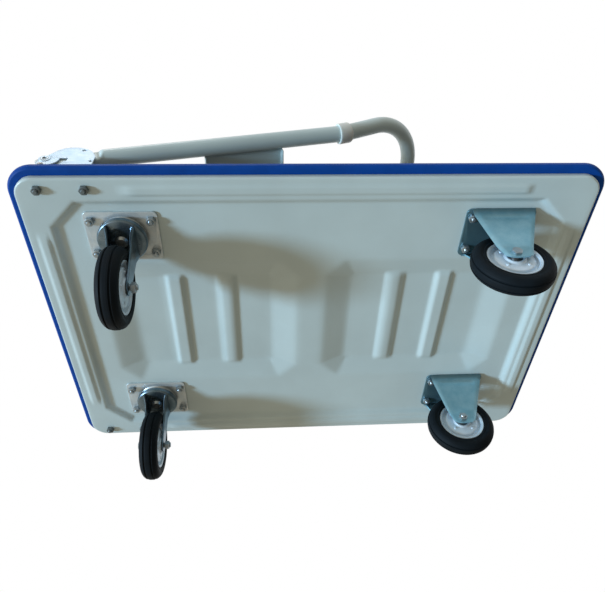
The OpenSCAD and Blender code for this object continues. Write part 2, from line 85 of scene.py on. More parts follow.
PAN_HIGH = box_mm("deck_pan")[1]
MAT_LOW, MAT_HIGH = box_mm("deck_mat")
BUMPER_HIGH = box_mm("edge_bumper")[1]
PAN_L = PAN_HIGH[0]
PAN_W = PAN_HIGH[1]
PAN_R = 29
SHEET = 1.5
RIM_Z = 147
PANEL_Z = 155
LOAD_Z = 167
MAT_Z = MAT_LOW[2]
FIELD_RISE = 0.8
DECK_Z = MAT_HIGH[2] - FIELD_RISE
PIVOT = joint_place("handle_fold")
LEG_Y = middle("handle_leg_left")[1]
FOLD = math.radians(14)
KINK = math.radians(15.6)
TUBE_R = 14
LEG_LEN = 494
LOOP_STRAIGHT = 72
LOOP_R = 96
LOCK_ARM = 27
LOCK_TURN = math.radians(-85)
LOCK_SWING = math.radians(80)
NOTCH = 3
SLOT_R = 4.4
BRACKET_X = (-424, -340)
GAP_HALF = 7
CHEEK_T = 2.5
CASTER_Y = middle("swivel_plate_left")[1]
SWIVEL_X = middle("swivel_plate_left")[0]
RIGID_X = middle("rigid_axle_left")[0]
PLATE_X = 297
PLATE_Z = 152
AXLE_Z = 62.5
TRAIL = middle("swivel_axle_left")[1] - CASTER_Y
WHEEL_R = AXLE_Z
TYRE_HALF = 16.5
CROWN_Z = 137
LEG_GAP = 19.5
LEG_T = 2.5
BOLT_GAP = (92, 58)
HINGE_BOLT_X = (-405, -338)
BOLT_R = 3.9
BOLT_HEX = 12.8
AXLE_HEX = 14.7
WHEELS = [(kind, side) for kind in ("swivel", "rigid") for side in SIDES]
# Octagons of the pressed panels: half length, half width and corner cut
PANEL_FOOT = (401, 256, 43)
PANEL_TOP = (393, 248, 40)
LOAD_FOOT = (164.5, 139, 33)
LOAD_TOP = (119.5, 100, 6)
LOAD_X = 188.5
RIB_X = 43.5
BEAD_X = 417
BEAD_Y = 273
BEAD_SHIFT = 24.5


def side_sign(side):
    """1 on the left of the cart, which is +Y, and -1 on the right."""
    return 1 if side == "left" else -1


# ---------- array helpers ----------
def eased(t, rounding):
    """A straight ramp from 0 to 1 whose two ends are rounded by parabolas of half width rounding."""

    def lower(s):
        blend = (s + rounding) ** 2 / (4 * rounding)
        return np.where(s < -rounding, 0, np.where(s > rounding, s, blend))

    return 1 - lower(1 - lower(np.asarray(t, float)))


def graded(half, spans, coarse):
    """Coordinates from -half to half, a coarse step apart and finer over each (low, high, step) of |x|.

    The steps' inverse is summed along the line, and the lines stand where that sum is a whole number."""
    t = np.linspace(-half, half, 4001)
    step = np.full_like(t, coarse)
    for low, high, fine in spans:
        inside = (np.abs(t) >= low) & (np.abs(t) <= high)
        step[inside] = np.minimum(step[inside], fine)
    density = 1 / step
    count = np.concatenate([[0], np.cumsum((density[1:] + density[:-1]) / 2 * np.diff(t))])
    return np.interp(np.linspace(0, count[-1], math.ceil(count[-1]) + 1), count, t)


def rounded(points, radii, steps=6):
    """Closed outline through the points, with each corner replaced by an arc of its own radius."""
    points = np.asarray(points, float)
    radii = np.broadcast_to(radii, len(points))
    out = []
    for here, before, after, r in zip(points, np.roll(points, 1, 0), np.roll(points, -1, 0), radii):
        a = (before - here) / np.linalg.norm(before - here)
        b = (after - here) / np.linalg.norm(after - here)
        if r <= 0 or np.linalg.norm(a + b) < 1e-6:
            out.append(here[None])
            continue
        half = math.acos(np.clip(a @ b, -1, 1)) / 2
        reach = r / math.tan(half)
        centre = here + (a + b) / np.linalg.norm(a + b) * r / math.sin(half)
        start, end = here + a * reach - centre, here + b * reach - centre
        turn = math.atan2(start[0] * end[1] - start[1] * end[0], start @ end)
        t = np.linspace(0, turn, steps + 1)[:, None]
        side = np.array([-start[1], start[0]])
        out.append(centre + start * np.cos(t) + side * np.sin(t))
    return np.vstack(out)


def circle(radius, steps, centre=(0, 0)):
    """Closed circle of points in the plane."""
    t = np.arange(steps) * 2 * math.pi / steps
    return np.stack([centre[0] + radius * np.cos(t), centre[1] + radius * np.sin(t)], 1)


def grid_faces(rows, cols, close_rows=False, close_cols=False):
    """Quads between the neighbours of a grid of points, which may close on itself either way."""
    i = np.arange(rows if close_rows else rows - 1)
    j = np.arange(cols if close_cols else cols - 1)
    i, j = [a.ravel() for a in np.meshgrid(i, j, indexing="ij")]
    k, m = (i + 1) % rows, (j + 1) % cols
    return np.stack([i * cols + j, i * cols + m, k * cols + m, k * cols + j], 1)


def frame_of(origin, x_axis, y_axis, z_axis):
    """Function that carries local points to the cart, from an origin and three axes."""
    axes = np.array([x_axis, y_axis, z_axis], float)

    def carry(points):
        return np.asarray(points, float) @ axes + np.asarray(origin, float)

    return carry


def shell(points, close_rows=False, close_cols=True, caps=True):
    """Vertices and faces of a grid whose columns close, with its first and last rows capped."""
    rows, cols = points.shape[:2]
    faces = grid_faces(rows, cols, close_rows, close_cols).tolist()
    if caps and not close_rows:
        faces.append(list(range(cols)))
        faces.append([(rows - 1) * cols + j for j in range(cols)][::-1])
    return points.reshape(-1, 3), faces


def turned(profile, steps=96, closed=True):
    """A profile of (radius, height) points turned about the local Z axis.

    Each point of row i is (r cos t, r sin t, h). An open profile is capped at both ends."""
    t = np.arange(steps) * 2 * math.pi / steps
    r, h = np.asarray(profile, float).T
    heights = np.repeat(h[:, None], steps, 1)
    rows = np.stack([r[:, None] * np.cos(t), r[:, None] * np.sin(t), heights], 2)
    return shell(rows, close_rows=closed)


def extruded(outline, low, high):
    """A closed outline in local x and y carried straight from one height to another, and capped."""
    rows = [np.column_stack([outline, np.full(len(outline), h)]) for h in (low, high)]
    return shell(np.array(rows))


def thick_sheet(grid, thickness):
    """Sheet metal made from a grid of points: the grid, its copy pushed along the grid's normals, and a
    band that joins their borders.

    The normal at a point is the cross product of the grid's two tangents there."""
    across = np.gradient(grid, axis=1)
    down = np.gradient(grid, axis=0)
    normal = np.cross(down, across)
    normal /= np.maximum(np.linalg.norm(normal, axis=2, keepdims=True), 1e-9)
    rows, cols = grid.shape[:2]
    points = np.concatenate([grid.reshape(-1, 3), (grid + normal * thickness).reshape(-1, 3)])
    faces = grid_faces(rows, cols)
    count = rows * cols
    border = border_loop(rows, cols)
    ahead = np.roll(border, -1)
    band = np.stack([border, ahead, ahead + count, border + count], 1)
    return points, np.concatenate([faces[:, ::-1], faces + count, band]).tolist()


def border_loop(rows, cols):
    """Indices once round the border of a grid."""
    index = np.arange(rows * cols).reshape(rows, cols)
    return np.concatenate([index[0, :-1], index[:-1, -1], index[-1, :0:-1], index[:0:-1, 0]])


def joined(*parts):
    """One list of vertices and faces from several."""
    points, faces, base = [], [], 0
    for p, f in parts:
        points.append(np.asarray(p, float))
        faces.extend([[i + base for i in face] for face in f])
        base += len(p)
    return np.vstack(points), faces


def carried(part, carry):
    """A part with its vertices carried elsewhere."""
    return carry(part[0]), part[1]


def signed_volume(points, faces):
    """Volume inside the faces, negative if they point inwards."""
    total = 0.0
    for size in set(map(len, faces)):
        f = np.array([face for face in faces if len(face) == size])
        a = points[f[:, 0]]
        for k in range(1, size - 1):
            total += np.einsum("ij,ij->i", a, np.cross(points[f[:, k]], points[f[:, k + 1]])).sum()
    return total / 6


def outward(part):
    """The part with its faces turned outwards."""
    points, faces = part
    if signed_volume(points - points.mean(0), faces) < 0:
        faces = [face[::-1] for face in faces]
    return points, faces


def add_piece(name, parts, material, body, replaces=(), sharp=SHARP):
    """Makes one object from closed parts given in millimetres, and puts it on its body."""
    points, faces = joined(*[outward(part) for part in parts])
    mesh = bpy.data.meshes.new(name)
    mesh.from_pydata((points * MM).tolist(), [], faces)
    mesh.polygons.foreach_set("use_smooth", np.ones(len(mesh.polygons), bool))
    mesh.set_sharp_from_angle(angle=sharp)
    mesh.validate()
    piece = bpy.data.objects.new(name, mesh)
    bpy.context.scene.collection.objects.link(piece)
    mesh.materials.append(material())
    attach(piece, body)
    if replaces:
        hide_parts(*replaces)
    return piece


def pierced_plate(outline, holes, thickness, bevel=0.4):
    """A flat plate with holes as vertices and faces: filled outlines given a thickness and rounded edges.

    The outlines lie in local x and y, and the plate reaches half its thickness to each side."""
    data = bpy.data.curves.new("plate", "CURVE")
    data.dimensions = "2D"
    data.fill_mode = "BOTH"
    data.extrude = thickness / 2 - bevel
    data.bevel_depth = bevel
    data.bevel_resolution = 2
    data.offset = -bevel
    for loop in [outline, *holes]:
        spline = data.splines.new("POLY")
        spline.points.add(len(loop) - 1)
        flat = np.column_stack([loop, np.zeros(len(loop)), np.ones(len(loop))])
        spline.points.foreach_set("co", flat.ravel())
        spline.use_cyclic_u = True
    obj = bpy.data.objects.new("plate", data)
    bpy.context.scene.collection.objects.link(obj)
    depsgraph = bpy.context.evaluated_depsgraph_get()
    made = bpy.data.meshes.new_from_object(obj.evaluated_get(depsgraph))
    bpy.data.objects.remove(obj)
    bpy.data.curves.remove(data)
    work = bmesh.new()
    work.from_mesh(made)
    bmesh.ops.remove_doubles(work, verts=work.verts, dist=1e-3)
    bmesh.ops.recalc_face_normals(work, faces=work.faces)
    work.verts.index_update()
    points = np.array([v.co for v in work.verts])
    faces = [[v.index for v in f.verts] for f in work.faces]
    work.free()
    bpy.data.meshes.remove(made)
    return points, faces


def bored_slab(xs, ys, corner, low, high, edge):
    """A sheet over a rounded rectangle, as vertices and faces.

    Grid lines xs and ys fill the rectangle, and each corner square is bent to a quarter disc by
    u' = u sqrt(1 - v^2 / 2) and v' = v sqrt(1 - u^2 / 2). low(x, y) and high(x, y) give its two faces, and
    edge lists how far out and at what height each ring of the edge stands, from the low face to the high."""
    x, y = np.meshgrid(xs, ys, indexing="ij")
    flat = np.array([xs[-1] - corner, ys[-1] - corner])
    u = np.clip((np.abs(x) - flat[0]) / corner, 0, 1)
    v = np.clip((np.abs(y) - flat[1]) / corner, 0, 1)
    x = np.sign(x) * (np.minimum(np.abs(x), flat[0]) + corner * u * np.sqrt(1 - v * v / 2))
    y = np.sign(y) * (np.minimum(np.abs(y), flat[1]) + corner * v * np.sqrt(1 - u * u / 2))
    rows, cols = x.shape
    loop = border_loop(rows, cols)
    rim = np.stack([x, y], 2).reshape(-1, 2)[loop]
    out = rim - np.clip(rim, -flat, flat)
    out /= np.linalg.norm(out, axis=1, keepdims=True)
    rings = [np.column_stack([rim + out * o, np.full(len(rim), h)]) for o, h in edge]
    count, around = rows * cols, len(loop)
    bottom = np.stack([x, y, low(x, y)], 2).reshape(-1, 3)
    top = np.stack([x, y, high(x, y)], 2).reshape(-1, 3)
    points = np.concatenate([bottom, *rings, top])
    last = count + len(edge) * around
    faces = [grid_faces(rows, cols)[:, ::-1], grid_faces(rows, cols) + last]
    hoops = [loop] + [count + k * around + np.arange(around) for k in range(len(edge))] + [loop + last]
    for one, two in zip(hoops[:-1], hoops[1:]):
        faces.append(np.stack([one, np.roll(one, -1), np.roll(two, -1), two], 1))
    return points, np.concatenate(faces).tolist()


def tube_along(path, up, half_up, half_side, power=2, steps=40):
    """A tube swept along a path: at each point a superellipse across the path, half_up along the
    given up direction made square to the path, and half_side across both."""
    path = np.asarray(path, float)
    tangent = np.gradient(path, axis=0)
    tangent /= np.linalg.norm(tangent, axis=1, keepdims=True)
    up = np.broadcast_to(up, path.shape)
    up = up - (up * tangent).sum(1, keepdims=True) * tangent
    up /= np.linalg.norm(up, axis=1, keepdims=True)
    side = np.cross(tangent, up)
    t = np.arange(steps) * 2 * math.pi / steps
    power = np.broadcast_to(power, len(path))[:, None]
    c = np.sign(np.cos(t)) * np.abs(np.cos(t)) ** (2 / power)
    s = np.sign(np.sin(t)) * np.abs(np.sin(t)) ** (2 / power)
    a = np.broadcast_to(half_up, len(path))[:, None] * c
    b = np.broadcast_to(half_side, len(path))[:, None] * s
    rows = path[:, None] + a[..., None] * up[:, None] + b[..., None] * side[:, None]
    return rows


def hexagon(across, steps=72):
    """Distance to the side of a hexagon of that width across flats, at evenly spaced angles."""
    t = np.arange(steps) * 2 * math.pi / steps
    return across / 2 / np.cos(t % (math.pi / 3) - math.pi / 6)


def hex_block(across, height, hole=0.0, washer_face=0.0, steps=72):
    """Hexagon nut or head from z = 0 up, with its corners turned down by a 30 degree cone on the upper
    side, and on both sides where a washer face is given."""
    t = np.arange(steps) * 2 * math.pi / steps
    r = hexagon(across, steps)
    drop = (r - across / 2 * 0.94) * math.tan(math.radians(30))
    ring = np.full(steps, across / 2 * 0.94)
    low = drop if washer_face else np.zeros(steps)
    rows = [(ring, np.full(steps, 0.0)), (r, low), (r, height - drop), (ring, np.full(steps, height))]
    if hole:
        inner = np.full(steps, hole)
        edge = np.full(steps, hole + 0.6)
        rows += [(edge, np.full(steps, height)), (inner, np.full(steps, height - 0.6))]
        rows += [(inner, np.full(steps, 0.6)), (edge, np.full(steps, 0.0))]
    grid = np.array([np.stack([q * np.cos(t), q * np.sin(t), z], 1) for q, z in rows])
    return shell(grid, close_rows=bool(hole))


def thread_profile(radius, start, end, pitch=1.25, depth=0.35):
    """Radius and height of a shank from start to end, with ridges a pitch apart and a bevelled tip."""
    count = max(int((end - start - 1) / pitch), 1)
    k = np.arange(2 * count + 1)
    z = start + k * pitch / 2
    r = np.where(k % 2 == 0, radius, radius - depth)
    return np.vstack([np.column_stack([r, z]), [[radius - depth, end - 0.8], [radius - 1.2, end]]])


# ---------- finishes ----------
class Finish:
    """Builds one procedural material out of object coordinates, noise, and a Principled shader."""

    def __init__(self, name):
        self.material = bpy.data.materials.new(name)
        self.material.use_nodes = True
        self.nodes = self.material.node_tree.nodes
        self.links = self.material.node_tree.links
        self.shader = self.nodes["Principled BSDF"]
        self.place = self.nodes.new("ShaderNodeTexCoord").outputs["Object"]

    def set(self, **values):
        """Sets constant sockets of the shader, named with underscores for spaces."""
        for key, value in values.items():
            self.shader.inputs[key.replace("_", " ")].default_value = value

    def height(self):
        """Height above the floor."""
        axes = self.nodes.new("ShaderNodeSeparateXYZ")
        self.links.new(self.place, axes.inputs[0])
        return axes.outputs["Z"]

    def stretched(self, scale):
        """Object coordinates scaled differently along each axis."""
        node = self.nodes.new("ShaderNodeMapping")
        node.inputs["Scale"].default_value = scale
        self.links.new(self.place, node.inputs["Vector"])
        return node.outputs["Vector"]

    def noise(self, scale, detail=3.0, roughness=0.5, vector=None):
        """Fractal noise between 0 and 1, with scale in patches per metre."""
        node = self.nodes.new("ShaderNodeTexNoise")
        node.inputs["Scale"].default_value = scale
        node.inputs["Detail"].default_value = detail
        node.inputs["Roughness"].default_value = roughness
        self.links.new(vector or self.place, node.inputs["Vector"])
        return node.outputs["Fac"]

    def cells(self, scale):
        """Distance to scattered points, for spangle and grain."""
        node = self.nodes.new("ShaderNodeTexVoronoi")
        node.inputs["Scale"].default_value = scale
        self.links.new(self.place, node.inputs["Vector"])
        return node.outputs["Color"]

    def spread(self, value, low, high, start=0.3, end=0.7):
        """A value between start and end carried to between low and high."""
        node = self.nodes.new("ShaderNodeMapRange")
        for key, number in zip(("From Min", "From Max", "To Min", "To Max"), (start, end, low, high)):
            node.inputs[key].default_value = number
        self.links.new(value, node.inputs["Value"])
        return node.outputs["Result"]

    def mixed(self, factor, one, two, mode="MIX"):
        """Two colours, or a colour and an output, mixed by a factor."""
        node = self.nodes.new("ShaderNodeMix")
        node.data_type = "RGBA"
        node.blend_type = mode
        for socket, value in zip((node.inputs[0], node.inputs[6], node.inputs[7]), (factor, one, two)):
            if isinstance(value, bpy.types.NodeSocket):
                self.links.new(value, socket)
            elif isinstance(value, (int, float)):
                socket.default_value = value
            else:
                socket.default_value = (*value, 1)
        return node.outputs[2]

    def bumped(self, height, distance, strength=1.0, under=None):
        """Bump of a given depth in metres, over an earlier one."""
        node = self.nodes.new("ShaderNodeBump")
        node.inputs["Distance"].default_value = distance
        node.inputs["Strength"].default_value = strength
        self.links.new(height, node.inputs["Height"])
        if under:
            self.links.new(under, node.inputs["Normal"])
        return node.outputs["Normal"]

    def finish(self, colour=None, roughness=None, normal=None):
        """Connects what varies over the surface, and returns the material."""
        for value, key in ((colour, "Base Color"), (roughness, "Roughness"), (normal, "Normal")):
            if value is not None:
                self.links.new(value, self.shader.inputs[key])
        return self.material


def darker(colour, factor):
    """A colour with its three parts scaled."""
    return tuple(c * factor for c in colour)


def once(build):
    """Builds a finish the first time that it is asked for, under a name that no packed material has."""
    name = build.__name__ + "_finish"

    def get():
        return bpy.data.materials.get(name) or build(name)

    return get


def paint(name, colour, gloss):
    """Baked enamel: faint orange peel, slow drift of tone, and dust that dulls the gloss."""
    f = Finish(name)
    drift = f.noise(7, 4)
    dust = f.noise(60, 5, 0.6)
    tone = f.mixed(f.spread(drift, 0, 1), darker(colour, 0.95), darker(colour, 1.05))
    tone = f.mixed(f.spread(dust, 0, 0.05, 0.45, 0.8), tone, (0.55, 0.53, 0.47))
    f.set(Specular_IOR_Level=0.5, Coat_Weight=0.25, Coat_Roughness=0.2)
    peel = f.bumped(f.noise(700, 2), 0.00002)
    waves = f.bumped(f.noise(16, 1), 0.0007, under=peel)
    return f.finish(tone, f.spread(dust, gloss, gloss + 0.12), waves)


def plated(name, colour, tint, roughness, metal=0.85, painted_shade=0.0):
    """Bright zinc: pale metal with patches of passivate tint, fine rolling lines and spangle, and where
    asked for, painted shade that darkens it towards the caster plates above."""
    f = Finish(name)
    patch = f.spread(f.noise(55, 4, 0.55), 0, 1, 0.35, 0.65)
    tone = f.mixed(patch, colour, tint)
    spangle = f.spread(f.cells(900), 0.92, 1.0, 0, 1)
    tone = f.mixed(1.0, tone, spangle, "MULTIPLY")
    # Painted shade: the zinc turns darker towards the caster plate, where the plate shades the legs' tops.
    if painted_shade:
        shade_mask = f.spread(f.height(), 0, painted_shade, (PLATE_Z - 14) * MM, (PLATE_Z - 2) * MM)
        tone = f.mixed(shade_mask, tone, darker(tint, 0.2))
    lines = f.noise(240, 3, 0.6, f.stretched((1, 9, 9)))
    f.set(Metallic=metal, Specular_IOR_Level=0.5)
    normal = f.bumped(lines, 0.00003)
    return f.finish(tone, f.spread(lines, roughness, roughness + 0.14), normal)


@once
def painted_steel(name):
    """The deck's enamel."""
    return paint(name, bpy.context.scene.cart_finish.paint, 0.36)


@once
def handle_enamel(name):
    """The handle's enamel, a little glossier."""
    return paint(name, bpy.context.scene.cart_finish.handle_paint, 0.3)


@once
def ribbed_rubber(name):
    """Dark deck rubber with a fine pebble grain and a little scuffing."""
    f = Finish(name)
    colour = bpy.context.scene.cart_finish.mat
    grain = f.noise(1400, 3)
    scuff = f.spread(f.noise(22, 5, 0.7), 0, 1, 0.5, 0.75)
    tone = f.mixed(scuff, colour, darker(colour, 1.5))
    f.set(Specular_IOR_Level=0.35)
    return f.finish(tone, f.spread(grain, 0.62, 0.8), f.bumped(grain, 0.00012))


@once
def blue_vinyl(name):
    """Blue bumper vinyl with a satin skin, faint pulling lines and scuffed patches."""
    f = Finish(name)
    colour = bpy.context.scene.cart_finish.bumper
    wear = f.noise(35, 5, 0.65)
    tone = f.mixed(f.spread(wear, 0, 1, 0.3, 0.75), darker(colour, 0.88), darker(colour, 1.12))
    skin = f.noise(900, 2)
    f.set(IOR=1.3, Specular_IOR_Level=0.3)
    return f.finish(tone, f.spread(wear, 0.42, 0.58), f.bumped(skin, 0.00004))


@once
def zinc_plate(name):
    """The swivel casters' top plates."""
    return plated(name, (0.72, 0.78, 0.80), (0.58, 0.67, 0.72), 0.28, 0.5)


@once
def blue_zinc(name):
    """Blue passivate of the rigid forks, with painted shade darkening them towards their plates."""
    return plated(name, (0.32, 0.56, 0.66), (0.24, 0.48, 0.59), 0.32, 0.65, 0.7)


@once
def bracket_zinc(name):
    """The hinge brackets, bright and rolled."""
    return plated(name, (0.60, 0.71, 0.80), (0.50, 0.64, 0.76), 0.42)


@once
def fastener_zinc(name):
    """Nuts, axle bolts and rivets."""
    return plated(name, (0.48, 0.52, 0.54), (0.36, 0.44, 0.49), 0.28)


@once
def dull_zinc(name):
    """Hinge bolts and nuts, weathered."""
    return plated(name, (0.20, 0.23, 0.24), (0.15, 0.18, 0.19), 0.42, 0.6)


@once
def fork_zinc(name):
    """The swivel forks, their zinc made dark all over as painted shade for the shaded crown and legs."""
    # The dark colours are painted shade, standing in for the shade inside the forks.
    return plated(name, (0.22, 0.29, 0.35), (0.13, 0.20, 0.25), 0.24, 0.9)


@once
def rim_steel(name):
    """The wheel rims, pale and satin."""
    return plated(name, (0.72, 0.84, 0.94), (0.62, 0.76, 0.88), 0.36, 0.3)


@once
def plain_steel(name):
    """Mill finish steel with drawn lines and a trace of oil."""
    f = Finish(name)
    oil = f.noise(30, 4)
    tone = f.mixed(f.spread(oil, 0, 1), (0.30, 0.31, 0.32), (0.42, 0.43, 0.43))
    lines = f.noise(300, 2, 0.5, f.stretched((8, 1, 8)))
    f.set(Metallic=1.0)
    return f.finish(tone, f.spread(oil, 0.32, 0.5), f.bumped(lines, 0.00004))


@once
def tyre_rubber(name):
    """Black rubber with a bluish bloom, mould grain and dust in patches."""
    f = Finish(name)
    colour = bpy.context.scene.cart_finish.tyre
    bloom = f.noise(40, 5, 0.6)
    tone = f.mixed(f.spread(bloom, 0, 1, 0.4, 0.75), colour, darker(colour, 1.7))
    grain = f.noise(1100, 3)
    f.set(IOR=1.28, Specular_IOR_Level=0.4)
    return f.finish(tone, f.spread(bloom, 0.58, 0.72), f.bumped(grain, 0.00004))


@once
def collar_plastic(name):
    """Off-white moulded plastic with a soft skin and slight yellowing."""
    f = Finish(name)
    age = f.noise(50, 4)
    tone = f.mixed(f.spread(age, 0, 1), (0.62, 0.66, 0.64), (0.69, 0.71, 0.67))
    f.set(Specular_IOR_Level=0.45, Subsurface_Weight=0.05, Subsurface_Scale=0.004)
    skin = f.noise(800, 2)
    return f.finish(tone, f.spread(skin, 0.36, 0.5), f.bumped(skin, 0.00003))


@once
def ball_steel(name):
    """Polished ball steel with a greasy film."""
    f = Finish(name)
    film = f.noise(400, 3)
    f.set(Metallic=1.0)
    tone = f.mixed(f.spread(film, 0, 1), (0.62, 0.63, 0.64), (0.45, 0.41, 0.33))
    return f.finish(tone, f.spread(film, 0.08, 0.3), f.bumped(film, 0.00001))


# ---------- settings ----------
def length(name, description, millimetres, low, high):
    """A length, given in millimetres."""
    return FloatProperty(
        name=name,
        description=description,
        default=millimetres * MM,
        min=low * MM,
        max=high * MM,
        subtype="DISTANCE",
        unit="LENGTH",
    )


def angle(name, description, degrees):
    """An angle, given in degrees."""
    return FloatProperty(
        name=name,
        description=description,
        default=math.radians(degrees),
        subtype="ANGLE",
        unit="ROTATION",
    )


def colour(name, description, default):
    """A colour picker, with its default as linear red, green and blue."""
    return FloatVectorProperty(
        name=name, description=description, default=default, size=3, min=0, max=1, subtype="COLOR"
    )


class CartDeckSettings(bpy.types.PropertyGroup):
    """Pressing of the deck pan and ribs of its mat."""

    edge_bend: length("Edge bend", "Outside radius of the bend between rim and skirt", 3.5, 2, 6)
    bead_depth: length("Bead depth", "Depth of the beads along the rim", 3, 1, 3)
    rib_depth: length("Rib depth", "Depth of the ribs in the load panels", 6, 3, 6)
    rib_end: length("Rib end", "Distance of a rib's end from the middle line", 103, 95, 115)
    mat_pitch: length("Mat pitch", "Distance between the ribs of the mat", 6, 4, 12)
    mat_rib: length("Mat rib height", "Height of the ribs of the mat's load field", 1.2, 0.5, 2)


class CartFinishSettings(bpy.types.PropertyGroup):
    """Colours of the painted, moulded and rubber parts."""

    paint: colour("Deck enamel", "Grey-green enamel of the deck", (0.520, 0.620, 0.625))
    handle_paint: colour("Handle enamel", "Grey enamel of the handle", (0.510, 0.620, 0.620))
    bumper: colour("Bumper", "Blue of the bumper strip", (0.001, 0.055, 0.300))
    mat: colour("Mat", "Dark grey of the deck rubber", (0.045, 0.048, 0.050))
    tyre: colour("Tyre", "Black of the tyres", (0.0028, 0.006, 0.009))


class CartStageSettings(bpy.types.PropertyGroup):
    """Camera and light."""

    rise: angle("Camera rise", "How steeply the camera looks up", 50.67)
    turn: angle("Camera turn", "How far the camera looks to the right of straight across", 5.57)
    roll: angle("Camera roll", "Roll of the camera about its line of sight", -5.31)
    place: FloatVectorProperty(
        name="Camera place",
        description="Where the camera stands",
        default=(-0.0740, -0.6692, -0.5883),
        size=3,
        subtype="TRANSLATION",
        unit="LENGTH",
    )
    lens: FloatProperty(
        name="Lens", description="Focal length in millimetres", default=32.87, min=10, max=200
    )
    key: FloatProperty(
        name="Key light", description="Strength of the low key light", default=2.8, min=0
    )
    fill: FloatProperty(
        name="Fill", description="Strength of the soft light from below", default=0.43, min=0
    )
    overhead: FloatProperty(
        name="Overhead", description="Strength of the soft light from above", default=0.9, min=0
    )


# ---------- deck ----------
def octagon_ramp(x, y, outer, inner):
    """1 inside the inner octagon, 0 outside the outer one, and straight slopes between them.

    Each octagon is half length, half width and corner cut, and the slope is set by the largest of the
    distances along x, along y and along the corner's diagonal, each measured in wall widths."""
    x, y = np.abs(x), np.abs(y)
    along = (x - inner[0]) / (outer[0] - inner[0])
    across = (y - inner[1]) / (outer[1] - inner[1])
    near = inner[0] + inner[1] - inner[2]
    far = outer[0] + outer[1] - outer[2]
    corner = (x + y - near) / (far - near)
    return 1 - np.maximum(np.maximum(along, across), corner)


def ridge(distance, crest, foot, rounding=0.3):
    """1 within the crest's half width, 0 outside the foot's, with a rounded wall between."""
    return 1 - eased((np.abs(distance) - crest) / (foot - crest), rounding)


def pan_underside(x, y):
    """Height of the pan's lower face: the rim, plus the caster panel and the load panels, less their ribs
    and the rim's beads."""
    deck = bpy.context.scene.cart_deck
    z = RIM_Z + (PANEL_Z - RIM_Z) * eased(octagon_ramp(x, y, PANEL_FOOT, PANEL_TOP), 0.35)
    near = np.where(x < 0, x + LOAD_X, x - LOAD_X)
    load = eased(octagon_ramp(near, y, LOAD_FOOT, LOAD_TOP), 0.13)
    z = z + (LOAD_Z - PANEL_Z) * load
    rib_end = deck.rib_end / MM
    ribs = ridge(np.abs(near) - RIB_X, 9.5, 17) * ridge(y, rib_end - 5, rib_end + 5)
    z = z - deck.rib_depth / MM * ribs
    long_bead = ridge(np.abs(y) - BEAD_Y, 5.5, 9) * ridge(x - BEAD_SHIFT, 302, 306)
    short_bead = ridge(np.abs(x) - BEAD_X, 5.5, 9) * ridge(y, 188, 192)
    return z - deck.bead_depth / MM * np.maximum(long_bead, short_bead)


class CART_OT_deck_pan(bpy.types.Operator):
    """Press the deck pan: one sheet with raised panels, ribs, beads and a turned-up skirt."""

    bl_idname = "cart.deck_pan"
    bl_label = "Deck pan"

    def execute(self, context):
        bend = context.scene.cart_deck.edge_bend / MM
        xs = graded(
            PAN_L - bend,
            [(69, 74, 2), (20, 72, 5), (114, 130, 2.2), (134, 172, 6), (172, 206, 2.2)]
            + [(210, 250, 2.2), (300, 356, 5), (350, 430, 2.6)],
            9,
        )
        ys = graded(PAN_W - bend, [(94, 112, 2.2), (100, 142, 3), (205, 286, 2.4)], 9)
        turn = np.linspace(0, math.pi / 2, 7)[1:]
        outer = [(bend * math.sin(a), RIM_Z + bend * (1 - math.cos(a))) for a in turn]
        hem = [(bend, DECK_Z - 0.5), (bend - 0.4, DECK_Z)]
        hem += [(bend - SHEET + 0.3, DECK_Z), (bend - SHEET, DECK_Z - 0.5)]
        tight = bend - SHEET
        inner = [(tight * math.sin(a), RIM_Z + bend - tight * math.cos(a)) for a in turn[::-1]]
        part = bored_slab(
            xs, ys, PAN_R - bend, pan_underside, lambda x, y: pan_underside(x, y) + SHEET, outer + hem + inner
        )
        add_piece(
            "pan_pressing",
            [part],
            painted_steel,
            "platform",
            ["deck_pan"],
            math.radians(60),
        )
        return {"FINISHED"}


class CART_OT_deck_mat(bpy.types.Operator):
    """Lay the ribbed rubber mat in the pan."""

    bl_idname = "cart.deck_mat"
    bl_label = "Deck mat"

    def execute(self, context):
        deck = context.scene.cart_deck
        pitch, height = deck.mat_pitch / MM, deck.mat_rib / MM
        half = np.array([PAN_L - SHEET - 0.4, PAN_W - SHEET - 0.4])

        def top(x, y):
            """A flat border, and in the load field rounded ribs along the deck."""
            wave = np.clip(0.5 + 0.9 * np.cos(2 * math.pi * y / pitch), 0, 1)
            field = eased((410 - np.abs(x)) / 4, 0.3) * eased((250 - np.abs(y)) / 1.5, 0.3)
            return DECK_Z + field * (FIELD_RISE - height + height * wave)

        xs = graded(half[0], [(402, 414, 2), (414, half[0], 6)], 60)
        ys = graded(half[1], [(0, 254, pitch / 7)], 6)
        edge = [(0.3, MAT_Z + 0.6), (0.3, DECK_Z - 0.5)]
        part = bored_slab(xs, ys, PAN_R - SHEET, lambda x, y: 0 * x + MAT_Z + 0.1, top, edge)
        add_piece(
            "mat_ribbed",
            [part],
            ribbed_rubber,
            "platform",
            ["deck_mat"],
            math.radians(50),
        )
        return {"FINISHED"}


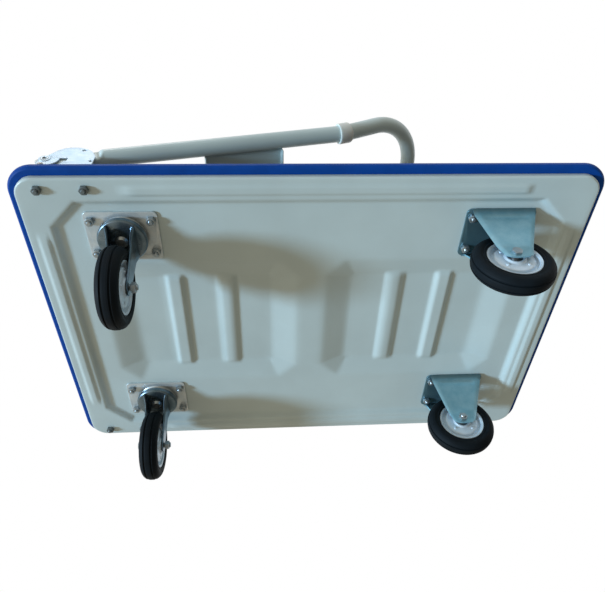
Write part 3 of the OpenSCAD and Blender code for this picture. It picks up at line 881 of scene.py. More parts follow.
class CART_OT_bumper(bpy.types.Operator):
    """Carry the bumper's section once round the skirt."""

    bl_idname = "cart.bumper"
    bl_label = "Bumper"

    def execute(self, context):
        out_x = BUMPER_HIGH[0] - PAN_L
        section = rounded(
            [(0, 10), (out_x - 3.5, 10), (out_x, 14), (out_x, 20), (out_x - 3, 25.5), (out_x - 7, 27)]
            + [(-3, 27), (-3, 25.2), (0, 25.2)],
            [0.8, 3, 4, 4, 2.5, 1.5, 0.8, 0.5, 0],
        )
        path = rounded([(PAN_L, PAN_W), (-PAN_L, PAN_W), (-PAN_L, -PAN_W), (PAN_L, -PAN_W)], PAN_R, 20)
        flat = np.array([PAN_L - PAN_R, PAN_W - PAN_R])
        out = path - np.clip(path, -flat, flat)
        out /= np.linalg.norm(out, axis=1, keepdims=True)
        plan = path[:, None] + out[:, None] * section[None, :, :1]
        rise = np.broadcast_to(RIM_Z + section[None, :, 1:], (len(path), len(section), 1))
        part = shell(np.concatenate([plan, rise], 2), close_rows=True)
        add_piece(
            "bumper_strip",
            [part],
            blue_vinyl,
            "platform",
            ["edge_bumper"],
            math.radians(40),
        )
        return {"FINISHED"}


# ---------- hinge ----------
def hinge_frame(side, offset=0.0):
    """Carries a plate's outline, x along the cart and y up, to the plane of one leg."""
    y = side_sign(side) * LEG_Y + offset
    return frame_of((0, y, 0), (1, 0, 0), (0, 0, 1), (0, 1, 0))


def cheek_outline():
    """Side of the hinge bracket: straight foot, upright ends, and a dome with a sloping flank."""
    top = DECK_Z + 97.5
    left, right = BRACKET_X
    points = [(left, DECK_Z + 3), (left, DECK_Z + 50.5), (left + 23, DECK_Z + 91), (left + 36, top)]
    points += [(left + 52, top), (left + 72, top - 9), (right, top - 32), (right, DECK_Z + 3)]
    return rounded(points, [0, 14, 22, 22, 26, 26, 26, 0], 10)


def lock_slot_outline():
    """Arc slot about the pivot with a radial notch at each end.

    The outer side runs from notch to notch, and the inner side runs back."""
    arc = np.linspace(LOCK_TURN, LOCK_TURN + LOCK_SWING, 30)
    lead = SLOT_R / LOCK_ARM
    outer = LOCK_ARM + SLOT_R
    deep = outer + NOTCH + 0.7
    notch = [(deep, -lead), (deep, lead)]
    points = [(r * math.cos(LOCK_TURN + a), r * math.sin(LOCK_TURN + a)) for r, a in notch]
    points += [(outer * math.cos(a), outer * math.sin(a)) for a in arc[3:-3]]
    points += [(r * math.cos(arc[-1] + a), r * math.sin(arc[-1] + a)) for r, a in notch]
    inner = LOCK_ARM - SLOT_R
    back = np.linspace(arc[-1] + lead, arc[0] - lead, 30)
    points += [(inner * math.cos(a), inner * math.sin(a)) for a in back]
    return np.array(points) + PIVOT[[0, 2]]


class CART_OT_hinge_brackets(bpy.types.Operator):
    """Make the two channel brackets that carry the handle's legs."""

    bl_idname = "cart.hinge_brackets"
    bl_label = "Hinge brackets"

    def execute(self, context):
        outer, floor = GAP_HALF + CHEEK_T - 0.05, DECK_Z + 0.02
        channel = [(-outer, 5), (-outer, 0), (outer, 0), (outer, 5)]
        channel += [(outer - CHEEK_T + 0.1, 5), (outer - CHEEK_T + 0.1, 2.4)]
        channel += [(0.1 - outer + CHEEK_T, 2.4), (0.1 - outer + CHEEK_T, 5)]
        channel = rounded(channel, [0.3, 2.6, 2.6, 0.3, 0.3, 1, 1, 0.3])
        holes = [
            lock_slot_outline(),
            circle(5, 40, PIVOT[[0, 2]]),
            circle(2.5, 24, (-344, 220)),
            circle(3.4, 24, (-362, DECK_Z + 86)),
        ]
        plate = pierced_plate(cheek_outline(), holes, CHEEK_T, 0.5)
        for side in SIDES:
            y = side_sign(side) * LEG_Y
            lay = frame_of((0, y, floor), (0, 1, 0), (0, 0, 1), (1, 0, 0))
            foot = carried(extruded(channel, BRACKET_X[0] + 0.1, BRACKET_X[1] - 0.1), lay)
            cheeks = [
                carried(plate, hinge_frame(side, s * (GAP_HALF + CHEEK_T / 2))) for s in (-1, 1)
            ]
            ring = rounded([(5.1, -1.1), (9.5, -1.1), (9.5, 0), (5.1, 0)], [0.2, 0.8, 0, 0], 4)
            lips = []
            for s in (-1, 1):
                seat = y + s * (GAP_HALF + CHEEK_T - 0.1)
                lay = frame_of((PIVOT[0], seat, PIVOT[2]), (1, 0, 0), (0, 0, 1), (0, -s, 0))
                lips.append(carried(turned(ring, 48), lay))
            add_piece(
                f"bracket_{side}",
                [foot, *cheeks, *lips],
                bracket_zinc,
                "platform",
                [f"hinge_bracket_{side}"],
            )
        return {"FINISHED"}


class CART_OT_pivot_rivets(bpy.types.Operator):
    """Make the flared tubular rivets on which the handle turns."""

    bl_idname = "cart.pivot_rivets"
    bl_label = "Pivot rivets"

    def execute(self, context):
        half = GAP_HALF + CHEEK_T
        profile = rounded(
            [(3.2, -half - 1.6), (5.5, -half - 1.6), (7, -half - 0.9), (7, -half - 0.02), (4.9, -half)]
            + [(4.9, half), (7, half + 0.02), (7, half + 0.9), (5.5, half + 1.6), (3.2, half + 1.6)],
            [0.5, 0.7, 0.5, 0.1, 0, 0, 0.1, 0.5, 0.7, 0.5],
            4,
        )
        for side in SIDES:
            y = side_sign(side) * LEG_Y
            lay = frame_of((PIVOT[0], y, PIVOT[2]), (1, 0, 0), (0, 0, -1), (0, 1, 0))
            part = carried(turned(profile, 48), lay)
            add_piece(
                f"rivet_{side}",
                [part],
                fastener_zinc,
                "platform",
                [f"pivot_rivet_{side}"],
            )
        return {"FINISHED"}


def upright_at(x, y, z):
    """Carries a turned part to a vertical axis."""
    return frame_of((x, y, z), (1, 0, 0), (0, 1, 0), (0, 0, 1))


def hung_at(x, y, z):
    """Carries a turned part to a vertical axis, upside down."""
    return frame_of((x, y, z), (1, 0, 0), (0, -1, 0), (0, 0, -1))


def nut_part(across, height, bore):
    """Hexagon nut with both faces chamfered, standing on z = 0."""
    return hex_block(across, height, bore, washer_face=1)


def dome_head(radius, height):
    """Low domed bolt head, as an open profile from rim to crown."""
    a = np.linspace(0, math.pi / 2, 8)
    return np.column_stack([0.4 + (radius - 0.4) * np.cos(a), height * np.sin(a)])


class CART_OT_hinge_fasteners(bpy.types.Operator):
    """Make the hinge bolts with their domed heads, and the nuts under the rim."""

    bl_idname = "cart.hinge_fasteners"
    bl_label = "Hinge bolts and nuts"

    def execute(self, context):
        bolt_end = box_mm("hinge_bolts")[0][2]
        seat = DECK_Z + 2.5
        bolts, nuts = [], []
        shank = np.vstack([[[BOLT_R, 0]], thread_profile(BOLT_R, seat - RIM_Z, seat - bolt_end)])
        for x in HINGE_BOLT_X:
            for side in SIDES:
                y = side_sign(side) * LEG_Y
                bolts.append(carried(turned(dome_head(6.5, 3.5), 40, False), upright_at(x, y, seat)))
                bolts.append(carried(turned(shank, 40, False), hung_at(x, y, seat + 0.01)))
                nuts.append(carried(nut_part(BOLT_HEX, 6.4, 3.95), hung_at(x, y, RIM_Z - 0.05)))
        add_piece("hinge_bolt_set", bolts, dull_zinc, "platform", ["hinge_bolts"])
        add_piece("hinge_nut_set", nuts, dull_zinc, "platform", ["hinge_nuts"])
        return {"FINISHED"}


# ---------- handle ----------
LEG_DIR = np.array([math.cos(FOLD), 0, math.sin(FOLD)])
LEG_UP = np.array([-math.sin(FOLD), 0, math.cos(FOLD)])
LOOP_DIR = np.array([math.cos(FOLD + KINK), 0, math.sin(FOLD + KINK)])
LOOP_UP = np.array([-math.sin(FOLD + KINK), 0, math.cos(FOLD + KINK)])
ACROSS = np.array([0.0, 1.0, 0.0])


def pivot_of(side):
    """Where a leg's middle line crosses the pivot's axis."""
    return np.array([PIVOT[0], side_sign(side) * LEG_Y, PIVOT[2]])


def kink_of(side):
    """Where a leg meets the loop."""
    return pivot_of(side) + LEG_LEN * LEG_DIR


class CART_OT_handle_legs(bpy.types.Operator):
    """Draw the handle's legs: round tube, pressed flat where it enters its bracket."""

    bl_idname = "cart.handle_legs"
    bl_label = "Handle legs"

    def execute(self, context):
        nose = 15.0
        s = np.concatenate([-nose * np.cos(np.linspace(0.08, math.pi / 2, 14)), np.linspace(4, 76, 10)])
        s = np.concatenate([s, np.linspace(78, 90, 14), [110, LEG_LEN - 12, LEG_LEN + 1]])
        flare = eased((s - 78.5) / 8, 0.3)
        tall = 15 + (TUBE_R - 15) * flare
        tall = np.where(s < 0, nose * np.sqrt(np.clip(1 - (s / nose) ** 2, 0, 1)), tall)
        wide = 6.6 + (TUBE_R - 6.6) * flare
        power = 5 - 3 * flare
        for side in SIDES:
            path = pivot_of(side) + s[:, None] * LEG_DIR
            tube = shell(tube_along(path, LEG_UP, tall, wide, power, 48))
            add_piece(
                f"leg_tube_{side}",
                [tube],
                handle_enamel,
                "handle",
                [f"handle_leg_{side}", f"handle_lug_{side}"],
                math.radians(50),
            )
        return {"FINISHED"}


class CART_OT_lock_arms(bpy.types.Operator):
    """Cut the arms on the legs that hold the lock bar."""

    bl_idname = "cart.lock_arms"
    bl_label = "Lock arms"

    def execute(self, context):
        reach = LOCK_ARM + NOTCH / 2
        arc = np.linspace(-math.pi / 2, math.pi / 2, 20)
        tip = np.stack([reach + 10 * np.cos(arc), 10 * np.sin(arc)], 1)
        outline = np.vstack([[(0, -10)], tip, [(0, 10)]])
        half = 4.1
        up = np.linspace(-math.pi / 2, math.pi / 2, 12)
        slot = np.vstack(
            [
                np.stack([LOCK_ARM + NOTCH + half * np.cos(up), half * np.sin(up)], 1),
                np.stack([LOCK_ARM - half * np.cos(up), -half * np.sin(up)], 1),
            ]
        )
        plate = pierced_plate(outline, [slot], 2 * 6.4, 0.6)
        c, s = math.cos(LOCK_TURN), math.sin(LOCK_TURN)
        for side in SIDES:
            lay = frame_of(pivot_of(side), (c, 0, s), (-s, 0, c), (0, -1, 0))
            arm = [carried(plate, lay)]
            add_piece(f"lock_arm_{side}", arm, handle_enamel, "handle")
        return {"FINISHED"}


class CART_OT_handle_loop(bpy.types.Operator):
    """Bend the handle's loop from one tube, as a straight, a corner, the grip, a corner and a straight."""

    bl_idname = "cart.handle_loop"
    bl_label = "Handle loop"

    def execute(self, context):
        t = np.linspace(0, math.pi / 2, 25)
        half_bar = LEG_Y - LOOP_R
        run = np.array([-1, 15, 40, LOOP_STRAIGHT])
        straight = np.stack([run, np.full(4, LEG_Y)], 1)
        bend = np.stack([LOOP_STRAIGHT + LOOP_R * np.sin(t), half_bar + LOOP_R * np.cos(t)], 1)[1:]
        bar = np.stack([np.full(9, LOOP_STRAIGHT + LOOP_R), np.linspace(half_bar, 0, 10)[1:]], 1)
        half = np.vstack([straight, bend, bar])
        plan = np.vstack([half, half[-2::-1] * (1, -1)])
        origin = kink_of("left") * (1, 0, 1)
        path = origin + plan[:, :1] * LOOP_DIR + plan[:, 1:] * ACROSS
        tube = shell(tube_along(path, LOOP_UP, TUBE_R, TUBE_R, 2, 48))
        add_piece("loop_tube", [tube], handle_enamel, "handle", ["handle_loop"])
        return {"FINISHED"}


class CART_OT_joint_collars(bpy.types.Operator):
    """Mould the plastic collars over the bends between legs and loop."""

    bl_idname = "cart.joint_collars"
    bl_label = "Joint collars"

    def execute(self, context):
        reach, bore, outer = 10.4, TUBE_R + 0.15, TUBE_R + 3.7
        profile = rounded(
            [(-reach, bore), (-reach, outer - 0.2), (-reach + 2.5, outer), (reach - 2.5, outer)]
            + [(reach, outer - 0.2), (reach, bore)],
            [0.4, 1.2, 3, 3, 1.2, 0.4],
            5,
        )
        for side in SIDES:
            s = profile[:, 0]
            bend = KINK * eased(s / reach / 2 + 0.5, 0.4)
            aim = FOLD + bend
            along = np.stack([np.cos(FOLD + KINK * (s > 0)), 0 * s, np.sin(FOLD + KINK * (s > 0))], 1)
            centre = kink_of(side) + s[:, None] * along
            up = np.stack([-np.sin(aim), 0 * s, np.cos(aim)], 1)
            t = np.arange(56) * 2 * math.pi / 56
            ring = np.cos(t)[None, :, None] * up[:, None] + np.sin(t)[None, :, None] * ACROSS
            rows = centre[:, None] + profile[:, 1][:, None, None] * ring
            part = shell(rows, close_rows=True)
            add_piece(
                f"collar_{side}",
                [part],
                collar_plastic,
                "handle",
                [f"joint_collar_{side}"],
            )
        return {"FINISHED"}


class CART_OT_cross_plate(bpy.types.Operator):
    """Fold the sheet between the legs: a web with a flange at each end."""

    bl_idname = "cart.cross_plate"
    bl_label = "Cross plate"

    def execute(self, context):
        near, far, half, drop = 245, 380, SHEET / 2, 14
        outline = [(near, -drop), (near, half), (far, half), (far, -drop)]
        outline += [(far - SHEET, -drop), (far - SHEET, -half)]
        outline += [(near + SHEET, -half), (near + SHEET, -drop)]
        outline = rounded(outline, [0.5, 3.5, 3.5, 0.5, 0.5, 2, 2, 0.5], 6)
        width = LEG_Y - TUBE_R
        lay = frame_of(PIVOT * (1, 0, 1), LEG_DIR, LEG_UP, ACROSS)
        part = carried(extruded(outline, -width, width), lay)
        add_piece("cross_sheet", [part], handle_enamel, "handle", ["cross_plate"])
        return {"FINISHED"}


class CART_OT_lock_bar(bpy.types.Operator):
    """Turn the lock bar that joins both hinges, and its end clips."""

    bl_idname = "cart.lock_bar"
    bl_label = "Lock bar"

    def execute(self, context):
        centre = PIVOT + LOCK_ARM * np.array([math.cos(LOCK_TURN), 0, math.sin(LOCK_TURN)])
        half = LEG_Y + 16
        lay = frame_of(centre, (1, 0, 0), (0, 0, -1), (0, 1, 0))
        groove = LEG_Y + 13.6
        ends = [(2.8, half), (4, half - 1.2), (4, groove + 0.4), (3.4, groove), (4, groove - 0.4)]
        profile = np.array([(r, -h) for r, h in ends] + ends[::-1], float)
        bar = carried(turned(profile, 40, False), lay)
        add_piece("lock_rod", [bar], plain_steel, "lock", ["lock_bar"])
        section = rounded([(4.05, -1), (7.4, -1), (7.4, 1), (4.05, 1)], [0.2, 0.6, 0.6, 0.2], 4)
        clips = [carried(turned(section + (0, s * (LEG_Y + 12.2)), 40), lay) for s in (-1, 1)]
        add_piece("lock_clips", clips, fastener_zinc, "lock", ["lock_bar_clips"])
        return {"FINISHED"}


# ---------- casters ----------
def caster_body(kind, side):
    """The body that holds an axle."""
    return f"swivel_{side}" if kind == "swivel" else "platform"


def wheel_body(kind, side):
    """The body that turns on an axle."""
    return f"{kind}_wheel_{side}"


def caster_plate(centre_x, side):
    """Top plate with rounded corners and four slots for the bolts."""
    half = np.array([56, 44])
    outline = rounded([half, half * (-1, 1), -half, half * (1, -1)], 8, 8)
    holes = []
    for i in (-0.5, 0.5):
        for j in (-0.5, 0.5):
            hole = rounded([(6.2, 4.4), (-6.2, 4.4), (-6.2, -4.4), (6.2, -4.4)], 4.3, 8)
            holes.append(hole + (i * BOLT_GAP[0], j * BOLT_GAP[1]))
    plate = pierced_plate(outline, holes, 2.95, 0.6)
    return carried(plate, upright_at(centre_x, side_sign(side) * CASTER_Y, PLATE_Z + 1.5))


class CART_OT_swivel_plates(bpy.types.Operator):
    """Press the swivel casters' top plates with their upper ball races."""

    bl_idname = "cart.swivel_plates"
    bl_label = "Swivel plates"

    def execute(self, context):
        race = rounded(
            [(6.2, 1), (6.2, -5.4), (20, -5.4), (25, -6), (31, -6), (33.5, -3), (36, 0), (36, 1)],
            [0, 1, 2, 2, 2, 2, 1, 0],
            4,
        )
        for side in SIDES:
            lay = upright_at(SWIVEL_X, side_sign(side) * CASTER_Y, PLATE_Z)
            parts = [caster_plate(SWIVEL_X, side), carried(turned(race, 96), lay)]
            add_piece(
                f"swivel_plate_pressed_{side}",
                parts,
                zinc_plate,
                "platform",
                [f"swivel_plate_{side}"],
            )
        return {"FINISHED"}


def leg_grid(edges, top, bottom, rows=40, cols=17):
    """Points of a pressed caster leg in local x (across) and z (up), and the row's place from top to foot.

    edges gives the left and right edge at each height, and the foot closes to a half round."""
    v = np.linspace(0, 1, rows) ** 0.9
    z = top + (bottom - top) * v
    left, right = edges(z)
    u = np.linspace(-1, 1, cols)
    x = (left + right)[:, None] / 2 + (right - left)[:, None] / 2 * u
    return x, np.repeat(z[:, None], cols, 1), u, v


def boss_edges(z, left, right, centre, radius):
    """Left and right edges of a tapered leg that runs into a round boss.

    Above the boss the edges are straight lines through the given (x, z) points, and beside the boss
    each edge is the further out of the line and the circle."""
    line_left = np.interp(-z, [-p[1] for p in left], [p[0] for p in left])
    line_right = np.interp(-z, [-p[1] for p in right], [p[0] for p in right])
    chord = np.sqrt(np.clip(radius**2 - (z - centre[1]) ** 2, 0, None))
    below = z < centre[1]
    round_left, round_right = centre[0] - chord, centre[0] + chord
    near = np.abs(z - centre[1]) < radius
    out_left = np.where(below, round_left, np.where(near, np.minimum(line_left, round_left), line_left))
    widest = np.where(near, np.maximum(line_right, round_right), line_right)
    out_right = np.where(below, round_right, widest)
    return out_left, out_right


class CART_OT_swivel_forks(bpy.types.Operator):
    """Press the swivel forks: a crown cup with the lower race, and two legs with turned edges."""

    bl_idname = "cart.swivel_forks"
    bl_label = "Swivel forks"

    def execute(self, context):
        cup = rounded(
            [(6.3, 0), (20, 0), (25, -0.6), (31, -0.4), (36.4, 0.2)]
            + [(38.4, 3), (38.4, 9), (36.8, 9), (36.4, 4)]
            + [(33, 2.8), (28, 1.9), (22, 3.1), (6.3, 3.2)],
            [0.4, 2, 2, 2, 2.5, 3, 0.6, 0.6, 2, 2, 2, 2, 0.4],
            4,
        )
        top, foot = CROWN_Z + 1.5, AXLE_Z - 12.9
        left = [(-30, 140.3), (-30, 131.3), (-8, 116.3), (TRAIL - 13, AXLE_Z)]
        right = [(30, 140.3), (33, 120.3), (TRAIL + 13, AXLE_Z)]
        x, z, u, v = leg_grid(lambda h: boss_edges(h, left, right, (TRAIL, AXLE_Z), 12.9), top, foot)
        lip = eased((np.abs(u) - 0.86) / 0.14, 0.3)[None] * eased((0.97 - v) / 0.1, 0.3)[:, None]
        neck = eased((0.16 - v) / 0.16, 0.3)[:, None] * 4.5
        for side in SIDES:
            y = side_sign(side) * CASTER_Y
            parts = [carried(turned(cup, 96), upright_at(SWIVEL_X, y, CROWN_Z))]
            for s in (-1, 1):
                plane = LEG_GAP + 0.1 + 0 * x - 2.2 * lip + neck
                grid = np.stack([s * plane, x, z], 2)
                part = thick_sheet(grid, -s * 2.3)
                parts.append(carried(part, upright_at(SWIVEL_X, y, 0)))
            add_piece(
                f"swivel_fork_pressed_{side}",
                parts,
                fork_zinc,
                f"swivel_{side}",
                [f"swivel_fork_{side}"],
            )
        return {"FINISHED"}


class CART_OT_rigid_forks(bpy.types.Operator):
    """Press the rigid forks: a top plate whose long edges fold down into two tapered legs. A leg slopes in
    from the plate's edge to the wheel, then hangs straight, and has turned edges and a stiffening swage."""

    bl_idname = "cart.rigid_forks"
    bl_label = "Rigid forks"

    def execute(self, context):
        top, foot = PLATE_Z + 1.2, AXLE_Z - 12
        left = [(-44, 153.2), (-17, 60.5), (-14.5, 55), (-11.5, 52), (-8.5, 50.9), (-5, 50.5)]
        right = [(58, 153.2), (24, 60.5), (19.5, 55), (16.5, 52), (13, 50.9), (9, 50.5)]

        def edges(z):
            """The leg's left and right edge at a height, by straight lines between its corners."""
            return [np.interp(-z, [-p[1] for p in line], [p[0] for p in line]) for line in (left, right)]

        x, z, u, v = leg_grid(edges, top, foot, 64, 25)
        lip = eased((np.abs(u) - 0.9) / 0.1, 0.3)[None] * eased((0.985 - v) / 0.06, 0.3)[:, None]
        lip *= eased((v - 0.02) / 0.06, 0.3)[:, None]
        swage = ridge(z - 137, 2.5, 6) * ridge(x - 6, 31, 36)
        rise = z - 80
        slope = 19 / 72 * (rise + np.sqrt(rise**2 + 36)) / 2
        curl = 2.4 * np.clip((z - 146) / 7, 0, 1) ** 2
        for side in SIDES:
            y = side_sign(side) * CASTER_Y
            parts = [caster_plate(PLATE_X, side)]
            for s in (-1, 1):
                plane = LEG_GAP + 2.4 + slope + curl - 2.6 * lip - 1.4 * swage
                grid = np.stack([x, s * plane, z], 2)
                parts.append(carried(thick_sheet(grid, -s * 2.3), upright_at(RIGID_X, y, 0)))
            add_piece(
                f"rigid_fork_pressed_{side}",
                parts,
                blue_zinc,
                "platform",
                [f"rigid_fork_{side}"],
            )
        return {"FINISHED"}


def axle_lay(kind, side, flip=1):
    """Carries a part turned about local Z to a wheel's axle: along X when swivelled, along Y when rigid."""
    y = side_sign(side) * CASTER_Y
    if kind == "swivel":
        return frame_of((SWIVEL_X, y + TRAIL, AXLE_Z), (0, 0, -flip), (0, 1, 0), (flip, 0, 0))
    return frame_of((RIGID_X, y, AXLE_Z), (1, 0, 0), (0, 0, flip), (0, -flip, 0))


class CART_OT_axles(bpy.types.Operator):
    """Make the axle bolts with hexagon heads, and their nuts over a showing thread."""

    bl_idname = "cart.axles"
    bl_label = "Axle bolts and nuts"

    def execute(self, context):
        span = LEG_GAP + LEG_T
        flange = turned(rounded([(0.3, 0), (8.4, 0), (8.4, 0.6), (0.3, 0.6)], [0, 0.2, 0.2, 0]), 48)
        shank = np.vstack([[[4.95, -span]], thread_profile(4.95, span - 4, span + 10, 1.5, 0.45)])
        head_lay = frame_of((0, 0, -span - 0.5), (1, 0, 0), (0, -1, 0), (0, 0, -1))
        washer_lay = frame_of((0, 0, -span - 0.6), (1, 0, 0), (0, 1, 0), (0, 0, 1))
        nut_lay = frame_of((0, 0, span + 0.05), (1, 0, 0), (0, 1, 0), (0, 0, 1))
        head, washer = carried(hex_block(AXLE_HEX, 5.4), head_lay), carried(flange, washer_lay)
        nut = carried(nut_part(AXLE_HEX, 7.4, 5.0), nut_lay)
        for kind, side in WHEELS:
            flip = -1 if kind == "rigid" and side == "right" else 1
            lay = axle_lay(kind, side, flip)
            bolt = [carried(part, lay) for part in (head, washer, turned(shank, 40, False))]
            for name, parts, node in (
                ("axle_bolt", bolt, "axle"),
                ("axle_hexnut", [carried(nut, lay)], "axle_nut"),
            ):
                add_piece(
                    f"{kind}_{name}_{side}",
                    parts,
                    fastener_zinc,
                    caster_body(kind, side),
                    [f"{kind}_{node}_{side}"],
                )
        return {"FINISHED"}


class CART_OT_wheel_rims(bpy.types.Operator):
    """Spin the pressed steel rims: hub, dish and bead seat, with four rivets."""

    bl_idname = "cart.wheel_rims"
    bl_label = "Wheel rims"

    def execute(self, context):
        half = [(11.6, 15.9), (14.3, 15.9), (15.4, 14.6), (17, 13.4), (28, 12.6), (30.2, 11.6), (31.6, 7.6)]
        half += [(33.8, 7.2), (35.6, 9.5), (37, 13), (38.6, 13.4), (40.2, 14.4), (41.0, 13.6)]
        radii = [0.4, 1, 1, 1, 4, 1.2, 1, 1, 1, 1, 0.6, 0.7, 0.4]
        profile = rounded(half + [(r, -h) for r, h in half[::-1]], radii + radii[::-1], 4)
        rivet = turned(dome_head(3, 1.6), 20, False)
        ring = [math.pi / 4 + k * math.pi / 2 for k in range(4)]
        for kind, side in WHEELS:
            lay = axle_lay(kind, side)
            parts = [carried(turned(profile, 128), lay)]
            for a in ring:
                for s in (-1, 1):
                    at = (23 * math.cos(a), 23 * math.sin(a), s * 12.7)
                    seat = frame_of(at, (1, 0, 0), (0, s, 0), (0, 0, s))
                    parts.append(carried(carried(rivet, seat), lay))
            add_piece(
                f"{kind}_rim_pressed_{side}",
                parts,
                rim_steel,
                wheel_body(kind, side),
                [f"{kind}_rim_{side}"],
            )
        return {"FINISHED"}


class CART_OT_tyres(bpy.types.Operator):
    """Mould the solid tyres: grooved tread, rounded shoulders and a stepped side wall."""

    bl_idname = "cart.tyres"
    bl_label = "Tyres"

    def execute(self, context):
        tread, groove = WHEEL_R, WHEEL_R - 2.8
        half = [(41.05, 13.2), (42.5, 15.2), (44.6, 15.9), (46.2, 15.2), (47.6, 15.7), (51.5, TYRE_HALF)]
        half += [(55.2, 15.2), (58.2, 12.8), (60.4, 10), (61.5, 7.8)]
        half += [(groove, 7.1), (groove, 5.5), (tread - 0.3, 4.7), (tread, 2)]
        radii = [0.4, 1, 1, 0.8, 1.5, 4, 4, 4, 3, 0.6, 0.4, 0.4, 0.6, 2]
        profile = rounded(half + [(r, -h) for r, h in half[::-1]], radii + radii[::-1], 5)
        for kind, side in WHEELS:
            add_piece(
                f"{kind}_tyre_moulded_{side}",
                [carried(turned(profile, 160), axle_lay(kind, side))],
                tyre_rubber,
                wheel_body(kind, side),
                [f"{kind}_tyre_{side}"],
            )
        return {"FINISHED"}


class CART_OT_caster_fasteners(bpy.types.Operator):
    """Make the nuts and showing bolt ends under the caster plates."""

    bl_idname = "cart.caster_fasteners"
    bl_label = "Caster bolts and nuts"

    def execute(self, context):
        bolt_end = box_mm("caster_bolts")[0][2]
        seat = PANEL_Z + SHEET
        shank = np.vstack([[[BOLT_R, -0.01]], thread_profile(BOLT_R, seat - PLATE_Z, seat - bolt_end)])
        bolts, nuts = [], []
        for centre in (SWIVEL_X, PLATE_X):
            for side in SIDES:
                for i in (-0.5, 0.5):
                    for j in (-0.5, 0.5):
                        x = centre + i * BOLT_GAP[0]
                        y = side_sign(side) * CASTER_Y + j * BOLT_GAP[1]
                        bolts.append(carried(turned(dome_head(8, 3.5), 24, False), upright_at(x, y, seat)))
                        bolts.append(carried(turned(shank, 32, False), hung_at(x, y, seat)))
                        nuts.append(carried(nut_part(BOLT_HEX, 6.4, 3.95), hung_at(x, y, PLATE_Z - 0.05)))
        add_piece("caster_bolt_set", bolts, fastener_zinc, "platform", ["caster_bolts"])
        add_piece("caster_nut_set", nuts, fastener_zinc, "platform", ["caster_nuts"])
        return {"FINISHED"}


KEPT_PARTS = {
    "hinge_supports": plain_steel,
    "kingpin_left": fastener_zinc,
    "kingpin_right": fastener_zinc,
    "swivel_balls_left": ball_steel,
    "swivel_balls_right": ball_steel,
    "swivel_bush_left": plain_steel,
    "swivel_bush_right": plain_steel,
    "swivel_bearing_left": plain_steel,
    "swivel_bearing_right": plain_steel,
    "rigid_bush_left": plain_steel,
    "rigid_bush_right": plain_steel,
    "rigid_bearing_left": plain_steel,
    "rigid_bearing_right": plain_steel,
}


class CART_OT_kept_parts(bpy.types.Operator):
    """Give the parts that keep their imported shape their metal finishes."""

    bl_idname = "cart.kept_parts"
    bl_label = "Kept parts"

    def execute(self, context):
        for name, material in KEPT_PARTS.items():
            mesh = frame["nodes"][name].data
            mesh.materials.clear()
            mesh.materials.append(material())
        return {"FINISHED"}


# ---------- stage ----------
def add_light(name, kind, energy, place, aim, colour=(1, 1, 1), **values):
    """A light at a place, turned towards a point."""
    data = bpy.data.lights.new(name, kind)
    data.energy = energy
    data.color = colour
    for key, value in values.items():
        setattr(data, key, value)
    light = bpy.data.objects.new(name, data)
    bpy.context.scene.collection.objects.link(light)
    light.location = place
    light.rotation_euler = (Vector(aim) - Vector(place)).to_track_quat("-Z", "Y").to_euler()
    return light


def floor_material():
    """Pale floor seen from above only: its lower face lets the view through."""
    material = bpy.data.materials.new("pale_floor")
    material.use_nodes = True
    nodes, links = material.node_tree.nodes, material.node_tree.links
    shader = nodes["Principled BSDF"]
    shader.inputs["Base Color"].default_value = (0.86, 0.86, 0.85, 1)
    shader.inputs["Roughness"].default_value = 0.9
    clear = nodes.new("ShaderNodeBsdfTransparent")
    mix = nodes.new("ShaderNodeMixShader")
    links.new(nodes.new("ShaderNodeNewGeometry").outputs["Backfacing"], mix.inputs[0])
    links.new(shader.outputs[0], mix.inputs[1])
    links.new(clear.outputs[0], mix.inputs[2])
    links.new(mix.outputs[0], nodes["Material Output"].inputs["Surface"])
    return material


def white_room(fill, overhead):
    """White surroundings. What they light is dimmer: below the horizon it is warm, and brighter on the
    handle's side of the room, growing from right to left with the direction's x. Above the horizon it
    is an even white, and the two run into each other with the direction's z."""
    world = bpy.data.worlds.new("white_room")
    world.use_nodes = True
    nodes, links = world.node_tree.nodes, world.node_tree.links
    axes = nodes.new("ShaderNodeSeparateXYZ")
    links.new(nodes.new("ShaderNodeTexCoord").outputs["Generated"], axes.inputs[0])

    def ramp(axis, numbers):
        """A number that goes with one part of the direction."""
        node = nodes.new("ShaderNodeMapRange")
        for key, number in zip(("From Min", "From Max", "To Min", "To Max"), numbers):
            node.inputs[key].default_value = number
        links.new(axes.outputs[axis], node.inputs["Value"])
        return node.outputs["Result"]

    def glow(colour, strength=1.0):
        """An even light, or one whose strength is a ramp."""
        node = nodes.new("ShaderNodeBackground")
        node.inputs["Color"].default_value = (*colour, 1)
        if isinstance(strength, float):
            node.inputs["Strength"].default_value = strength
        else:
            links.new(strength, node.inputs["Strength"])
        return node.outputs[0]

    def blend(factor, low, high):
        """One light where the factor is 0, and the other where it is 1."""
        node = nodes.new("ShaderNodeMixShader")
        for link, socket in zip((factor, low, high), node.inputs):
            links.new(link, socket)
        return node.outputs[0]

    below = glow((1.0, 0.90, 0.71), ramp("X", (-1, 1, fill * 1.6, fill * 0.15)))
    light = blend(ramp("Z", (-0.05, 0.3, 0, 1)), below, glow((0.95, 0.98, 1.0), overhead))
    seen = blend(nodes.new("ShaderNodeLightPath").outputs["Is Camera Ray"], light, glow((1, 1, 1)))
    links.new(seen, nodes["World Output"].inputs["Surface"])
    return world


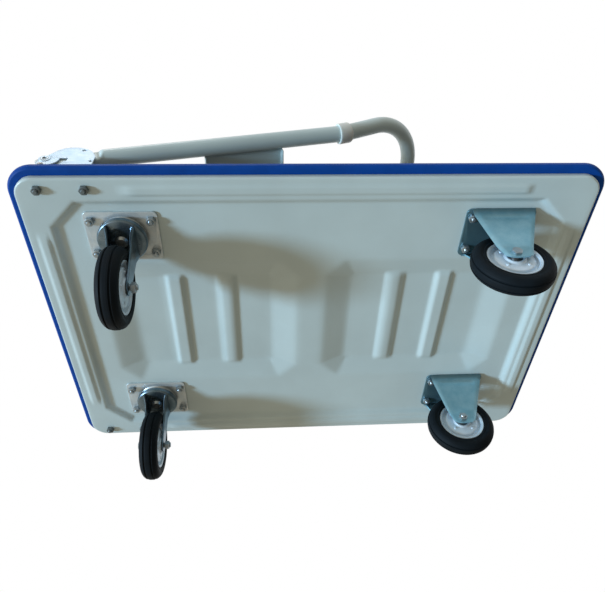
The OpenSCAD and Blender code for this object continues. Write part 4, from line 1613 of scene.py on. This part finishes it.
class CART_OT_stage(bpy.types.Operator):
    """Set the floor, the white surroundings, the lights and the camera."""

    bl_idname = "cart.stage"
    bl_label = "Stage"

    def execute(self, context):
        scene = context.scene
        stage = scene.cart_stage
        half = 6.0
        mesh = bpy.data.meshes.new("floor")
        corners = [(-half, -half, 0), (half, -half, 0), (half, half, 0), (-half, half, 0)]
        mesh.from_pydata(corners, [], [(0, 1, 2, 3)])
        mesh.materials.append(floor_material())
        floor = bpy.data.objects.new("floor", mesh)
        floor.visible_shadow = False
        floor.visible_diffuse = False
        floor.visible_glossy = False
        scene.collection.objects.link(floor)

        scene.world = white_room(stage.fill, stage.overhead)
        scene.view_settings.view_transform = "Standard"

        aim = (0.0, 0.0, 0.15)
        low_left, high_front, cool = (-3.0, -0.55, -1.15), (-0.8, -1.6, 3.0), (0.66, 0.96, 1.24)
        add_light("key", "SUN", stage.key, low_left, aim, cool, angle=math.radians(9))
        add_light("sky", "SUN", 0.3, high_front, aim, angle=math.radians(20))

        data = bpy.data.cameras.new("view")
        data.lens = stage.lens
        data.sensor_width = 36
        camera = bpy.data.objects.new("view", data)
        scene.collection.objects.link(camera)
        rise, turn, roll = stage.rise, stage.turn, stage.roll
        ahead = Vector((math.sin(turn) * math.cos(rise), math.cos(turn) * math.cos(rise), math.sin(rise)))
        level = Vector((math.cos(turn), -math.sin(turn), 0))
        above = level.cross(ahead)
        right = math.cos(roll) * level + math.sin(roll) * above
        up = -math.sin(roll) * level + math.cos(roll) * above
        camera.matrix_world = Matrix(
            [[right[i], up[i], -ahead[i], stage.place[i]] for i in range(3)] + [[0, 0, 0, 1]]
        )
        scene.camera = camera
        return {"FINISHED"}


# ---------- panel and registration ----------
BUILD_ORDER = [
    CART_OT_stage,
    CART_OT_deck_pan,
    CART_OT_deck_mat,
    CART_OT_bumper,
    CART_OT_hinge_brackets,
    CART_OT_pivot_rivets,
    CART_OT_hinge_fasteners,
    CART_OT_handle_legs,
    CART_OT_lock_arms,
    CART_OT_handle_loop,
    CART_OT_joint_collars,
    CART_OT_cross_plate,
    CART_OT_lock_bar,
    CART_OT_swivel_plates,
    CART_OT_swivel_forks,
    CART_OT_rigid_forks,
    CART_OT_axles,
    CART_OT_wheel_rims,
    CART_OT_tyres,
    CART_OT_caster_fasteners,
    CART_OT_kept_parts,
]
SETTINGS = {
    "cart_deck": CartDeckSettings,
    "cart_finish": CartFinishSettings,
    "cart_stage": CartStageSettings,
}


class CART_PT_build(bpy.types.Panel):
    """Lists the settings and the pieces in building order."""

    bl_idname = "CART_PT_build"
    bl_label = "Folding Platform Cart"
    bl_space_type = "VIEW_3D"
    bl_region_type = "UI"
    bl_category = "Cart"

    def draw(self, context):
        for key in SETTINGS:
            group = getattr(context.scene, key)
            column = self.layout.box().column()
            for name in group.bl_rna.properties.keys():
                if name not in ("rna_type", "name"):
                    column.prop(group, name)
        for operator in BUILD_ORDER:
            self.layout.operator(operator.bl_idname)


def register():
    """Adds the settings, the operators and the panel."""
    for group in SETTINGS.values():
        bpy.utils.register_class(group)
    for key, group in SETTINGS.items():
        setattr(bpy.types.Scene, key, PointerProperty(type=group))
    for operator in BUILD_ORDER:
        bpy.utils.register_class(operator)
    bpy.utils.register_class(CART_PT_build)


def unregister():
    """Takes them away again."""
    bpy.utils.unregister_class(CART_PT_build)
    for operator in reversed(BUILD_ORDER):
        bpy.utils.unregister_class(operator)
    for key in SETTINGS:
        delattr(bpy.types.Scene, key)
    for group in reversed(list(SETTINGS.values())):
        bpy.utils.unregister_class(group)


def main():
    """Builds every piece in order."""
    register()
    for operator in BUILD_ORDER:
        family, name = operator.bl_idname.split(".")
        getattr(getattr(bpy.ops, family), name)()


if __name__ == "__main__":
    main()
